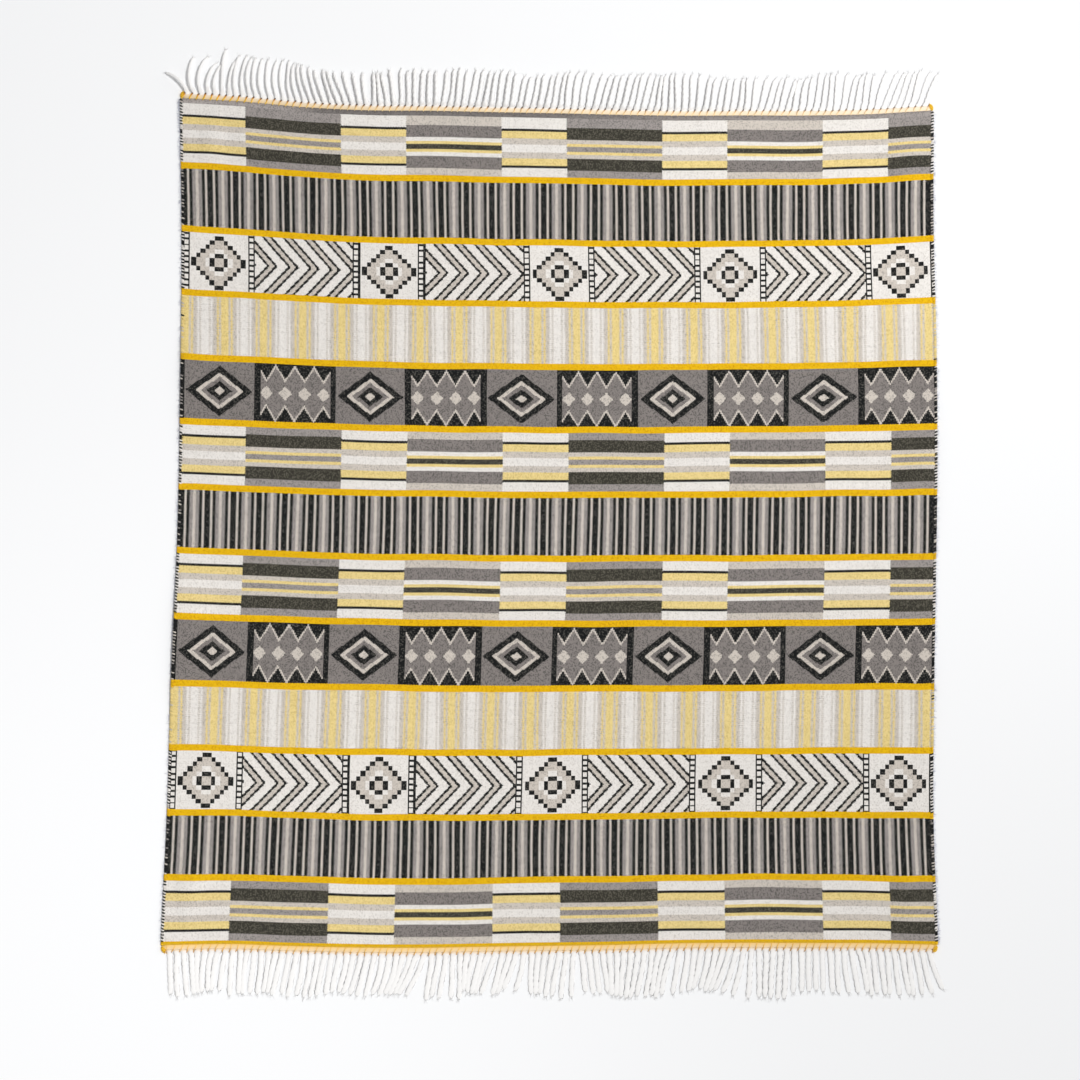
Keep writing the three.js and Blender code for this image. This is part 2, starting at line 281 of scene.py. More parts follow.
CLOTH_LOW, CLOTH_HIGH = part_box("cloth")
SHIFT_X = CLOTH_LOW.x - bare_place(0.0, LENGTH)[0]
SHIFT_Y = CLOTH_HIGH.y - bare_place(0.0, 0.0)[1]


def place_at(across, along):
    """X and Y on the surface of a point given by its distances from the left edge and the top end."""
    x, y = bare_place(across, along)
    return x + SHIFT_X, y + SHIFT_Y


def woven_at(along):
    """The distance along the pattern at a distance along the cloth."""
    lie = np.concatenate(((0,), GOLD_MIDDLES, (LENGTH,)))
    meant = np.concatenate(((0,), EVEN_MIDDLES, (LENGTH,)))
    return np.interp(along, lie, meant)


def ripple_at(across, along, longest, seed):
    """A soft unevenness from -1 to 1: the mean of ten sine waves in scattered directions, between a third of
    the longest wave and all of it."""
    total = 0.0
    for k in range(10):
        turn = math.pi * float(scatter(k, seed))
        wave = longest * (1 / 3 + 2 / 3 * float(scatter(k, seed + 1)))
        start = 2 * math.pi * float(scatter(k, seed + 2))
        way = across * math.cos(turn) + along * math.sin(turn)
        total = total + np.sin(2 * math.pi * way / wave + start)
    return total / 6


def unit(vectors):
    """The same directions with a length of one."""
    return vectors / np.linalg.norm(vectors, axis=-1, keepdims=True)


def mesh_object(name, points, quads, triangles=None):
    """A mesh object at the origin from arrays of points, four-cornered faces and three-cornered faces."""
    mesh = bpy.data.meshes.new(name)
    triangles = np.zeros((0, 3), int) if triangles is None else triangles
    mesh.vertices.add(len(points))
    mesh.vertices.foreach_set("co", np.asarray(points, np.float32).ravel())
    corners = np.concatenate((quads.ravel(), triangles.ravel())).astype(np.int32)
    counts = np.concatenate((np.full(len(quads), 4), np.full(len(triangles), 3)))
    starts = np.concatenate(((0,), np.cumsum(counts)[:-1])).astype(np.int32)
    mesh.loops.add(len(corners))
    mesh.loops.foreach_set("vertex_index", corners)
    mesh.polygons.add(len(counts))
    mesh.polygons.foreach_set("loop_start", starts)
    mesh.polygons.foreach_set("use_smooth", np.ones(len(counts), bool))
    mesh.update(calc_edges=True)
    mesh.validate()
    made = bpy.data.objects.new(name, mesh)
    bpy.context.scene.collection.objects.link(made)
    return made


def store(made, name, values):
    """Stores a vector or a colour at each point of a mesh, for its material to read."""
    kind, field = ("FLOAT_COLOR", "color") if values.shape[1] == 4 else ("FLOAT_VECTOR", "vector")
    layer = made.data.attributes.new(name, kind, "POINT")
    layer.data.foreach_set(field, np.asarray(values, np.float32).ravel())


def grid_faces(rows, columns, wrap=False):
    """Quads between neighbouring rows and columns of a grid, numbered row by row; wrap joins the last column
    to the first."""
    row = np.arange(rows - 1)[:, None]
    column = np.arange(columns if wrap else columns - 1)[None, :]
    after = (column + 1) % columns
    here = row * columns + column
    beside = row * columns + after
    return np.stack((here, beside, beside + columns, here + columns), -1).reshape(-1, 4)


def tubes(centres, side_hint, offsets):
    """Closed tubes, many at once. centres is tube by ring, offsets is tube by ring by corner, or ring by
    corner for tubes that are alike: how far the corner stands from the centre along the side direction and
    along the upward one, which is square to both the path and the side. Each end closes on a pole."""
    offsets = np.broadcast_to(offsets, (*centres.shape[:2], *offsets.shape[-2:]))
    count, rings, sides = offsets.shape[:3]
    side_hint = np.asarray(side_hint)
    way = unit(np.gradient(centres, axis=1))
    side = unit(side_hint - (side_hint * way).sum(-1, keepdims=True) * way)
    up = np.cross(way, side)
    skin = (
        centres[:, :, None]
        + offsets[..., :1] * side[:, :, None]
        + offsets[..., 1:] * up[:, :, None]
    )
    poles = centres[:, (0, -1)]
    points = np.concatenate((skin.reshape(count, -1, 3), poles), axis=1)
    step = points.shape[1] * np.arange(count)[:, None, None]
    quads = (grid_faces(rings, sides, wrap=True)[None] + step).reshape(-1, 4)
    j = np.arange(sides)
    after = (j + 1) % sides
    first = np.stack((np.full(sides, rings * sides), after, j), -1)
    base = (rings - 1) * sides
    last = np.stack((np.full(sides, rings * sides + 1), base + j, base + after), -1)
    triangles = (np.concatenate((first, last))[None] + step).reshape(-1, 3)
    return points.reshape(-1, 3), quads, triangles


def skin_values(skin):
    """Rows of numbers for tubes, by tube, ring and corner, in the order of the tubes' points. The pole at
    each end takes those of its ring's first corner."""
    count, width = skin.shape[0], skin.shape[-1]
    poles = skin[:, (0, -1), 0]
    return np.concatenate((skin.reshape(count, -1, width), poles), axis=1).reshape(-1, width)


def ring_values(values, sides):
    """One row of numbers a ring, repeated for each of its corners and for the two poles."""
    return skin_values(np.repeat(values[:, :, None], sides, axis=2))


def joined(parts):
    """Several groups of points, quads and triangles as one, with the faces renumbered."""
    starts = np.concatenate(((0,), np.cumsum([len(p[0]) for p in parts])[:-1])).astype(int)
    points = np.concatenate([p[0] for p in parts])
    quads = np.concatenate([p[1] + s for p, s in zip(parts, starts)])
    triangles = np.concatenate([p[2] + s for p, s in zip(parts, starts)])
    return points, quads, triangles


def round_section(sides, half_wide, half_high):
    """Corner offsets of ovals: (half_wide cos a, half_high sin a), with a evenly spaced round each ring."""
    a = 2 * math.pi * np.arange(sides) / sides
    half_wide = np.asarray(half_wide)[..., None]
    half_high = np.asarray(half_high)[..., None]
    return np.stack(np.broadcast_arrays(half_wide * np.cos(a), half_high * np.sin(a)), -1)


def linear(colour):
    """A colour as a screen shows it, 0 to 255 a channel, as the linear colour that a shader takes."""
    share = np.array(colour, float) / 255
    value = np.where(share <= 0.04045, share / 12.92, ((share + 0.055) / 1.055) ** 2.4)
    return (*value.tolist(), 1.0)


def colours_at(place, stations, colours):
    """Linear colours at places between stations, each of which has a colour as a screen shows it."""
    tints = np.array([linear(colour) for colour in colours])
    return np.stack([np.interp(place, stations, tints[:, k]) for k in range(4)], -1)


def grey(value):
    """One number as a grey that a ramp can hold."""
    return (value, value, value, 1.0)


class Reading:
    """What a node gives out. Python's arithmetic on it adds Math nodes to its material."""

    def __init__(self, tree, socket):
        self.tree = tree
        self.socket = socket

    def __add__(self, other):
        return number(self.tree, "ADD", self, other)

    def __sub__(self, other):
        return number(self.tree, "SUBTRACT", self, other)

    def __rsub__(self, other):
        return number(self.tree, "SUBTRACT", other, self)

    def __mul__(self, other):
        return number(self.tree, "MULTIPLY", self, other)

    def __truediv__(self, other):
        if isinstance(other, Reading):
            return number(self.tree, "DIVIDE", self, other)
        return self * (1 / other)

    def __mod__(self, other):
        return number(self.tree, "FLOORED_MODULO", self, other)

    def __gt__(self, other):
        return number(self.tree, "GREATER_THAN", self, other)

    def __lt__(self, other):
        return number(self.tree, "LESS_THAN", self, other)

    def __abs__(self):
        return number(self.tree, "ABSOLUTE", self)

    def __floor__(self):
        return number(self.tree, "FLOOR", self)

    __radd__ = __add__
    __rmul__ = __mul__


def feed(tree, socket, value):
    """Links a socket to a reading, or sets it to a plain value."""
    if isinstance(value, Reading):
        tree.links.new(value.socket, socket)
    else:
        socket.default_value = value


def number(tree, operation, *values, clamp=False):
    """A Math node on readings and plain numbers."""
    node = tree.nodes.new("ShaderNodeMath")
    node.operation = operation
    node.use_clamp = clamp
    for socket, value in zip(node.inputs, values):
        feed(tree, socket, value)
    return Reading(tree, node.outputs[0])


class Paint:
    """A material being made: a Principled shader whose sockets are fed from nodes."""

    def __init__(self, name, sheen, sheen_roughness, specular):
        self.material = bpy.data.materials.new(name)
        self.material.use_nodes = True
        self.tree = self.material.node_tree
        self.tree.nodes.clear()
        self.shader = self.tree.nodes.new("ShaderNodeBsdfPrincipled")
        self.shader.inputs["Sheen Weight"].default_value = sheen
        self.shader.inputs["Sheen Roughness"].default_value = sheen_roughness
        self.shader.inputs["Specular IOR Level"].default_value = specular
        output = self.tree.nodes.new("ShaderNodeOutputMaterial")
        self.tree.links.new(self.shader.outputs[0], output.inputs["Surface"])

    def node(self, kind, settings=None, values=None, output=0):
        """Adds a node: its settings, then its ramp's stops, then its sockets. Gives one of its outputs."""
        made = self.tree.nodes.new(kind)
        settings = dict(settings or {})
        stops = settings.pop("stops", None)
        interpolation = settings.pop("between", "LINEAR")
        for name, value in settings.items():
            setattr(made, name, value)
        if stops:
            made.color_ramp.interpolation = interpolation
            elements = made.color_ramp.elements
            while len(elements) < len(stops):
                elements.new(1.0)
            for element, (place, colour) in zip(elements, stops):
                element.position = place
                element.color = colour
        for name, value in (values or {}).items():
            feed(self.tree, made.inputs[name], value)
        return Reading(self.tree, made.outputs[output])

    def attribute(self, name, output="Vector"):
        """What the mesh stores at each point under this name."""
        return self.node("ShaderNodeAttribute", {"attribute_name": name}, output=output)

    def split(self, vector):
        """The three numbers of a vector."""
        node = self.tree.nodes.new("ShaderNodeSeparateXYZ")
        feed(self.tree, node.inputs[0], vector)
        return [Reading(self.tree, socket) for socket in node.outputs]

    def vector(self, x, y, z):
        """Three numbers as a vector."""
        return self.node("ShaderNodeCombineXYZ", values={"X": x, "Y": y, "Z": z})

    def ramp(self, place, stops, between="LINEAR"):
        """A colour ramp, read at a number from 0 to 1."""
        settings = {"stops": stops, "between": between}
        return self.node("ShaderNodeValToRGB", settings, {"Fac": place}, "Color")

    def mix(self, share, first, second):
        """Two colours mixed by a share."""
        sockets = {0: share, 6: first, 7: second}
        return self.node("ShaderNodeMix", {"data_type": "RGBA"}, sockets, 2)

    def scaled(self, colour, by):
        """A colour made lighter or darker by a factor."""
        return self.node("ShaderNodeVectorMath", {"operation": "SCALE"}, {0: colour, "Scale": by})

    def cells(self, x, y, z=0.0):
        """One random number from 0 to 1 for each whole place in a grid."""
        place = self.vector(math.floor(x), math.floor(y), z)
        return self.node("ShaderNodeTexWhiteNoise", values={"Vector": place})

    def noise(self, vector, scale, detail=2.0):
        """Soft noise from 0 to 1, about 0.5 in the middle."""
        sockets = {"Vector": vector, "Scale": scale, "Detail": detail}
        return self.node("ShaderNodeTexNoise", values=sockets)

    def pick(self, mask, off, on):
        """One of two numbers, by a mask that is 0 or 1."""
        return off + mask * (on - off)

    def steps(self, place, widths, length):
        """Yarn numbers in turn along a length, from (yarn, width) pairs that the place runs through."""
        edges = np.concatenate(((0,), np.cumsum([width for _, width in widths])[:-1]))
        total = sum(width for _, width in widths)
        stops = [
            (float(edge) / total, grey(yarn / YARN_COUNT)) for edge, (yarn, _) in zip(edges, widths)
        ]
        return self.ramp(place / length, stops, "CONSTANT") * YARN_COUNT

    def by_number(self, place, values):
        """One colour for each whole number from 0, read at a number."""
        count = len(values)
        stops = [(max(0.0, (k - 0.5) / count), value) for k, value in enumerate(values)]
        return self.ramp(place / count, stops, "CONSTANT")

    def switch(self, place, numbers):
        """A yarn number or a kind of band for each whole number from 0."""
        return self.by_number(place, [grey(n / YARN_COUNT) for n in numbers]) * YARN_COUNT

    def finish(self, colour, roughness, height, distance, strength):
        """Feeds the shader, with a Bump node on a height in units of the distance."""
        feed(self.tree, self.shader.inputs["Base Color"], colour)
        feed(self.tree, self.shader.inputs["Roughness"], roughness)
        sockets = {"Strength": strength, "Distance": distance, "Height": height}
        feed(self.tree, self.shader.inputs["Normal"], self.node("ShaderNodeBump", values=sockets))
        return self.material


# Widths of the twill's ribs and of single yarns, and how far these shift the edges of stripes and blocks
TWILL = 0.0021
TWILL_SHIFT = 0.0022
LOOSE_LONG = 0.009
LOOSE_SHIFT = 0.0010
WARP_STEP = 0.0026
WARP_RISE = 0.0008
WEFT_STEP = 0.0022

# The rows of yarn in the bands, as (yarn, millimetres). The blocks' rows are mirrored about their last one.
PALE_BLOCK = ((CREAM, 18), (BLACK, 5), (PALE, 14), (LIGHT, 12), (CREAM, 16))
PALE_BLOCK += PALE_BLOCK[-2::-1]
DARK_BLOCK = ((MID, 14), (CHARCOAL, 24), (LIGHT, 8), (PALE, 6), (MID, 10))
DARK_BLOCK += DARK_BLOCK[-2::-1]
SLATE_BLOCK = ((LIGHT, 14), (SLATE, 24), (CREAM, 8), (PALE, 6), (CHARCOAL, 10))
SLATE_BLOCK += SLATE_BLOCK[-2::-1]
PALE_STRIPES = (
    (PALE, 15.0), (LIGHT, 4.2), (PALE, 4.0), (LIGHT, 8.2), (CREAM, 4.4), (LIGHT, 2.6),
    (CREAM, 16.0), (LIGHT, 2.6), (CREAM, 4.4), (LIGHT, 8.2), (PALE, 4.0), (LIGHT, 4.2),
)
DARK_STRIPES = (
    (BLACK, 11.6), (LIGHT, 4.2), (BLACK, 6.2), (MID, 6.6), (LIGHT, 5.6), (MID, 6.6), (BLACK, 6.2),
    (LIGHT, 4.2),
)
PALE_REPEAT = MM * sum(width for _, width in PALE_STRIPES)
DARK_REPEAT = MM * sum(width for _, width in DARK_STRIPES)
LOZENGE_RINGS = ((LIGHT, 16), (BLACK, 22), (SLATE, 18), (LIGHT, 16), (BLACK, 28), (SLATE, 20))
STEP_RINGS = ((LIGHT, 1), (BLACK, 1), (CREAM, 1), (LIGHT, 2), (BLACK, 1), (CREAM, 6))
ARROW_ROWS = ((BLACK, 6), (LIGHT, 10), (BLACK, 6), (CREAM, 20))

# Sizes of the blocks, in metres across the cloth
DARK_FROM = 0.130
DARK_TO = 0.320
SLATE_FROM = 0.450
BLOCK_REPEAT = 0.640

# Sizes of the figures on slate: lozenges, toothed panels and the bars between them
GREY_REPEAT = 0.300
LOZENGE_MIDDLE = 0.075
LOZENGE_HALF_WIDE = 0.066
LOZENGE_HALF_HIGH = 0.050
LOZENGE_REACH = 1.2
TOOTH_HALF = 0.01875
TOOTH_HIGH = 0.030
TOOTH_RIM_HIGH = 0.006
SMALL_HALF_HIGH = 0.014
SMALL_SHARE = 0.7
BAR = 0.012

# Sizes of the figures on cream: stepped lozenges, arrows and the ladders between them
CREAM_REPEAT = 0.340
STEP = 0.009
STEP_MIDDLE = 0.072
STEPS_TO = 0.144
LADDER = 0.014
ARROW_REPEAT = 0.042
ARROW_SLOPE = 0.9
BETWEEN_LADDERS = 0.100
HOLE_HALF_WIDE = 0.004
RUNG_STEP = 0.0114
RUNG_HIGH = 0.0042


def block_band(paint, across, down):
    """Blocks of cross stripes, 130 and 190 mm wide, in three orders of yarn."""
    place = across % BLOCK_REPEAT
    pale = paint.steps(down, PALE_BLOCK, BAND_HIGH)
    dark = paint.steps(down, DARK_BLOCK, BAND_HIGH)
    slate = paint.steps(down, SLATE_BLOCK, BAND_HIGH)
    in_dark = (place > DARK_FROM) * (place < DARK_TO)
    in_slate = place > SLATE_FROM
    return paint.pick(in_slate, paint.pick(in_dark, pale, dark), slate)


def grey_figures(paint, across, down):
    """Ringed lozenges and toothed panels on slate, with black bars between them."""
    place = across % GREY_REPEAT
    middle = abs(down - BAND_HIGH / 2)
    rings = abs(place - LOZENGE_MIDDLE) / LOZENGE_HALF_WIDE + middle / LOZENGE_HALF_HIGH
    lozenge = paint.steps(rings / LOZENGE_REACH, LOZENGE_RINGS, 1.0)
    tooth = abs((place % (2 * TOOTH_HALF)) - TOOTH_HALF) / TOOTH_HALF
    from_gold = BAND_HIGH / 2 - middle
    tall = (1 - tooth) * TOOTH_HIGH
    small = (middle / SMALL_HALF_HIGH + tooth / SMALL_SHARE) < 1
    inside = paint.pick(small, SLATE, LIGHT)
    panel = paint.pick(from_gold < tall + TOOTH_RIM_HIGH, inside, LIGHT)
    panel = paint.pick(from_gold < tall, panel, BLACK)
    figures = paint.pick(place > GREY_REPEAT / 2, lozenge, panel)
    bar = ((across + BAR / 2) % (GREY_REPEAT / 2)) < BAR
    return paint.pick(bar, figures, BLACK)


def cream_figures(paint, across, down):
    """Stepped lozenges and rows of arrows on cream, with ladder bars between them."""
    place = across % CREAM_REPEAT
    middle = abs(down - BAND_HIGH / 2)
    rings = math.floor(abs(place - STEP_MIDDLE) / STEP) + math.floor(middle / STEP)
    lozenge = paint.steps(rings + 0.5, STEP_RINGS, 12.0)
    arrows = paint.steps((place + middle * ARROW_SLOPE) % ARROW_REPEAT, ARROW_ROWS, ARROW_REPEAT)
    figures = paint.pick(place > STEPS_TO, lozenge, arrows)
    bar = (place < LADDER) + (place > STEPS_TO - LADDER) * (place < STEPS_TO)
    inside = paint.pick(place > BETWEEN_LADDERS, place, place - (STEPS_TO - LADDER))
    rung = (abs(inside - LADDER / 2) > HOLE_HALF_WIDE) + ((down % RUNG_STEP) < RUNG_HIGH)
    return paint.pick(bar, figures, paint.pick(rung > 0.5, CREAM, BLACK))


def woven_yarn(paint, across, along):
    """The number of the yarn on the face at a place: the end stripe, then bands and gold stripes in turn.
    Bands past the middle one are turned over, and edges are stepped by single yarns."""
    loose = (paint.cells(along / TWILL, across / LOOSE_LONG) - 0.5) * LOOSE_SHIFT
    in_rib = (along + across * 0.5) % (2 * TWILL) > TWILL
    twill = in_rib * TWILL_SHIFT - TWILL_SHIFT / 2 + loose
    step = math.floor(across / WARP_STEP) * WARP_STEP
    pick_step = math.floor(along / WEFT_STEP) * WEFT_STEP
    k = number(paint.tree, "MAXIMUM", math.floor((along - FIRST_BAND) / BAND_STEP), 0.0)
    start = k * BAND_STEP + FIRST_BAND
    local = along - start
    stepped = pick_step - start
    turned = k > len(BANDS) / 2
    down = paint.pick(turned, stepped, BAND_HIGH - stepped)
    rise = ((across % (2 * WARP_STEP)) > WARP_STEP) * WARP_RISE
    kind = paint.switch(k, BANDS)
    block_down = paint.pick(turned, local, BAND_HIGH - local) + rise
    yarn = block_band(paint, across + twill * 0.5, block_down)
    others = (
        paint.steps((across + twill) % PALE_REPEAT, PALE_STRIPES, PALE_REPEAT),
        paint.steps((across + twill * 0.6) % DARK_REPEAT, DARK_STRIPES, DARK_REPEAT),
        grey_figures(paint, step, down),
        cream_figures(paint, step, down),
    )
    for number_of_kind, other in enumerate(others, 1):
        yarn = paint.pick(abs(kind - number_of_kind) < 0.5, yarn, other)
    yarn = paint.pick(local + rise > BAND_HIGH, yarn, GOLD)
    return paint.pick(along < END_STRIPE, yarn, MID)


# How light the strip before the first band is: shares of the width, and shares of HEAD_BRIGHT
HEAD_TONE = (
    (0.0, 0.84), (0.13, 0.80), (0.19, 0.40), (0.5, 0.42), (0.63, 0.52), (0.8, 0.64), (1.0, 0.74),
)
HEAD_BRIGHT = 1.5

# The yarn that shows on the underside where each yarn shows on the face
UNDER_YARNS = (CREAM, LIGHT, MID, CHARCOAL, BLACK, MID, GOLD, LIGHT)

# The wool's detail: flecks and streaks as (across, along), the grain, the ribs, and how far from an end the
# strands' pull shows
FLECK = (0.0017, 0.0019)
WARP_STREAK = (0.0023, 0.055)
WEFT_STREAK = (0.070, 0.0025)
GRAIN = 0.0020
RIB = 0.0030
PULL_REACH = 0.030


def wool_paint(settings):
    """Brushed twill wool: banded yarns with flecks, soft streaks of warp and weft, twill ribs and nap, and
    painted light on the rounded bottom rim.
    """
    paint = Paint("brushed_twill_wool", 0.10, 0.5, 0.2)
    across, along, side = paint.split(paint.attribute("weave"))
    yarn = woven_yarn(paint, across, along)
    yarn = paint.pick(side > 0.5, paint.switch(yarn, UNDER_YARNS), yarn)
    main = paint.by_number(yarn, [linear(row[0]) for row in YARNS])
    fleck = paint.by_number(yarn, [linear(row[1]) for row in YARNS])
    share = paint.by_number(yarn, [grey(row[2]) for row in YARNS])
    row = math.floor(along / FLECK[1])
    spot = paint.cells(across / FLECK[0] + (row % 2) * 0.5, row, side)
    colour = paint.mix(spot < share * settings.flecks, main, fleck)
    spot_place = paint.node("ShaderNodeTexCoord", output="Object")
    warp = paint.cells(across / WARP_STREAK[0], along / WARP_STREAK[1], side)
    weft = paint.cells(across / WEFT_STREAK[0], along / WEFT_STREAK[1], side)
    broad = paint.noise(spot_place, 3.2)
    nap = paint.noise(spot_place, 260.0)
    grain = paint.cells(across / GRAIN, along / GRAIN + 0.5, side) - 0.5
    tone = (warp - 0.5) * 0.05 + (weft - 0.5) * 0.05 + (broad - 0.5) * 0.10 + (nap - 0.5) * 0.16 + 1
    tone = tone + grain * (0.05 + (yarn < 1.5) * 0.20)
    head = paint.ramp(across / WIDTH, [(place, grey(v)) for place, v in HEAD_TONE]) * HEAD_BRIGHT
    tone = tone * paint.pick(along < END_STRIPE, 1.0, head)
    colour = paint.scaled(colour, tone)
    # Painted light: over the last 9 mm before the bottom end the colour turns towards a pale gold, to lift
    # the shade on the cloth's rounded rim there.
    near = number(paint.tree, "SUBTRACT", 1.0, (LENGTH - along) / 0.009, clamp=True)
    colour = paint.mix(near * near * 0.5 + near * 0.2, colour, linear((255, 214, 112)))
    from_end = number(paint.tree, "MINIMUM", along, LENGTH - along)
    fade = number(paint.tree, "SUBTRACT", 1.0, from_end / PULL_REACH, clamp=True)
    line = abs(((across - STRAND_INSET) % STRAND_PITCH) / STRAND_PITCH - 0.5) < 0.10
    chosen = paint.cells(across / STRAND_PITCH, side) > 0.45
    pulled = line * fade * chosen * (yarn < 1.5) * 0.30
    colour = paint.mix(pulled, colour, linear((170, 165, 160)))
    ribs = number(paint.tree, "SINE", (along + across) * (2 * math.pi / RIB))
    height = nap * 0.8 + ribs * 0.18 + spot * 0.12
    return paint.finish(colour, 0.86 + nap * 0.12, height, 0.0009, settings.nap)


def strand_paint(settings):
    """White two-ply wool, peach where it leaves the hem, greyer in its loose ends.
    The mesh stores the distance from the hem, the place round the strand, and 1 on the loose ends."""
    paint = Paint("twisted_cream_wool", 0.12, 0.5, 0.2)
    reach, turn, loose = paint.split(paint.attribute("yarn"))
    stops = [
        (0.0, linear((248, 210, 140))),
        (0.10, linear((249, 218, 164))),
        (0.25, linear((249, 223, 184))),
        (0.42, linear((249, 229, 202))),
        (0.54, linear((250, 246, 242))),
        (1.0, linear((248, 246, 244))),
    ]
    colour = paint.ramp(reach / 0.024, stops)
    place = paint.node("ShaderNodeTexCoord", output="Object")
    fibre = paint.noise(paint.vector(reach * 90, turn * 9, loose), 5.0)
    fuzz = paint.noise(place, 700.0)
    tone = (fibre - 0.5) * 0.06 + (fuzz - 0.5) * 0.05 + 1
    colour = paint.mix(loose, paint.scaled(colour, tone), linear((243, 242, 241)))
    return paint.finish(colour, 0.88 + fuzz * 0.1, fibre * 0.6 + fuzz * 0.5, 0.0006, settings.fuzz)


def yarn_paint(name, colour_name):
    """Plain wool yarn whose colour the mesh stores, with fine fibres."""
    paint = Paint(name, 0.10, 0.5, 0.2)
    place = paint.node("ShaderNodeTexCoord", output="Object")
    fibre = paint.noise(place, 900.0)
    broad = paint.noise(place, 60.0, 1.0)
    tone = (fibre - 0.5) * 0.35 + (broad - 0.5) * 0.15 + 1
    colour = paint.scaled(paint.attribute(colour_name, "Color"), tone)
    return paint.finish(colour, 0.86 + fibre * 0.12, fibre, 0.0005, 0.6)


def worn(made, material, slot, *nodes):
    """Gives a finished piece its material, its body and the solids it stands for. The slot is not used."""
    made.data.materials.append(material)
    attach(made, "root")
    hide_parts(*nodes)


def cloth_shape(settings):
    """The sheet: rows of stations from end to end, each a closed loop out along the underside and back along
    the face. The underside is at the lift of the ridges, the face a thickness higher, which falls to 40% at
    the side edges on a quarter round, and the face has a slight ripple that dies out at all edges."""
    rows, columns = CLOTH_ROWS, CLOTH_COLUMNS
    share = np.linspace(0, 1, columns)
    across = WIDTH * (share - 0.3 * np.sin(2 * math.pi * share) / (2 * math.pi))
    along = LENGTH * np.linspace(0, 1, rows)
    a, b = np.meshgrid(across, along)
    x, y = place_at(a, b)
    low = lift_at(a, b)
    edge = np.clip(np.minimum(a, WIDTH - a) / 0.006, 0, 1)
    thick = THICK * (0.4 + 0.6 * np.sqrt(1 - (1 - edge) ** 2))
    inner = smooth(0, 0.03, np.minimum(np.minimum(a, WIDTH - a), np.minimum(b, LENGTH - b)))
    ripple = settings.ripple * inner * ripple_at(a, b, 0.09, 3)
    half = (THICK - thick) / 2
    under = np.stack((x, y, low + half), -1)
    face = np.stack((x, y, low + half + thick + ripple), -1)
    points = np.concatenate((under, face[:, ::-1]), axis=1)
    loop = 2 * columns
    quads = grid_faces(rows, loop, wrap=True)
    j = np.arange(columns - 1)
    top_cap = np.stack((j, loop - 1 - j, loop - 2 - j, j + 1), -1)
    bottom_cap = top_cap[:, ::-1] + (rows - 1) * loop
    wander = inner * ripple_at(a, b, 0.42, 7)
    sway = inner * ripple_at(a, b, 0.30, 17)
    woven = woven_at(b) + 0.0012 * wander
    sideways = a + 0.0010 * sway
    beneath = np.stack((sideways, woven, np.zeros_like(a)), -1)
    above = np.stack((sideways, woven, np.ones_like(a)), -1)
    weave = np.concatenate((beneath, above[:, ::-1]), axis=1)
    return points.reshape(-1, 3), np.concatenate((quads, top_cap, bottom_cap)), weave.reshape(-1, 3)


def cloth_map(made):
    """Lays the cloth out flat on a square: the face on its left four fifths, the underside beside it, and
    the rims in narrow strips between and beyond them."""
    mesh = made.data
    rows, columns = CLOTH_ROWS, CLOTH_COLUMNS
    layer = mesh.uv_layers.new(name="OFBake")
    vertex = np.empty(len(mesh.loops), np.int32)
    mesh.loops.foreach_get("vertex_index", vertex)
    row, place = np.divmod(vertex, 2 * columns)
    on_face = place >= columns
    column = np.where(on_face, 2 * columns - 1 - place, place) / (columns - 1)
    down = row / (rows - 1)
    starts = np.arange(len(mesh.polygons)) * 4
    faces_up = on_face[starts[:, None] + np.arange(4)]
    mixed = np.repeat(faces_up.any(1) & ~faces_up.all(1), 4)
    cap = np.repeat(np.arange(len(mesh.polygons)) >= (rows - 1) * 2 * columns, 4)
    v = 0.010 + 0.980 * (1 - down)
    u = np.where(on_face, 0.004 + 0.786 * column, 0.806 + 0.190 * column)
    side_u = np.where(column > 0.5, 0.793, 0.799) + 0.003 * on_face
    u = np.where(mixed & ~cap, side_u, u)
    cap_v = np.where(down > 0.5, 0.002, 0.994) + 0.003 * on_face
    v = np.where(cap, cap_v, v)
    u = np.where(cap, 0.004 + 0.786 * column, u)
    layer.uv.foreach_set("vector", np.stack((u, v), -1).astype(np.float32).ravel())


def strand_lines(end):
    """The line of each strand along the surface, as in the solids: an arc whose direction turns evenly from
    its root to its tip, with neighbours pushed apart station by station."""
    out, end_along, table, seed = ENDS[end]
    index = np.arange(STRANDS)
    across = STRAND_INSET + index * (WIDTH - 2 * STRAND_INSET) / (STRANDS - 1)
    root, tip, long = (np.interp(across / MM, table[:, 0], table[:, k]) for k in (1, 2, 3))
    root_turn = root + LOOSE_TURN * around_zero(index, seed)
    tip_turn = tip + LOOSE_TURN * around_zero(index, seed + 1)
    length = MM * (long + LOOSE_LENGTH * around_zero(index, seed + 2))
    x, y = place_at(across, end_along)
    lines = np.empty((STRANDS, STRAND_STEPS + 1, 2))
    lines[:, 0] = np.stack((x, y + out * (SEAM_GAP + HEM_DEPTH - STRAND_SINK)), -1)
    step = (STRAND_SINK + length) / STRAND_STEPS
    for k in range(STRAND_STEPS):
        turn = np.radians(root_turn + (k + 0.5) / STRAND_STEPS * (tip_turn - root_turn))
        lines[:, k + 1, 0] = lines[:, k, 0] + step * np.sin(turn)
        lines[:, k + 1, 1] = lines[:, k, 1] + out * step * np.cos(turn)
    for k in range(1, STRAND_STEPS + 1):
        for _ in range(APART_ROUNDS):
            for i in range(STRANDS - 1):
                gap_x, gap_y = lines[i, k] - lines[i, k - 1]
                straight = abs(gap_y) / math.hypot(gap_x, gap_y)
                least = (STRAND_FOOT + STRAND_APART) / max(straight, 0.5)
                short = least - (lines[i + 1, k, 0] - lines[i, k, 0])
                if short > 0:
                    lines[i, k, 0] -= short / 2
                    lines[i + 1, k, 0] += short / 2
    return across, lines


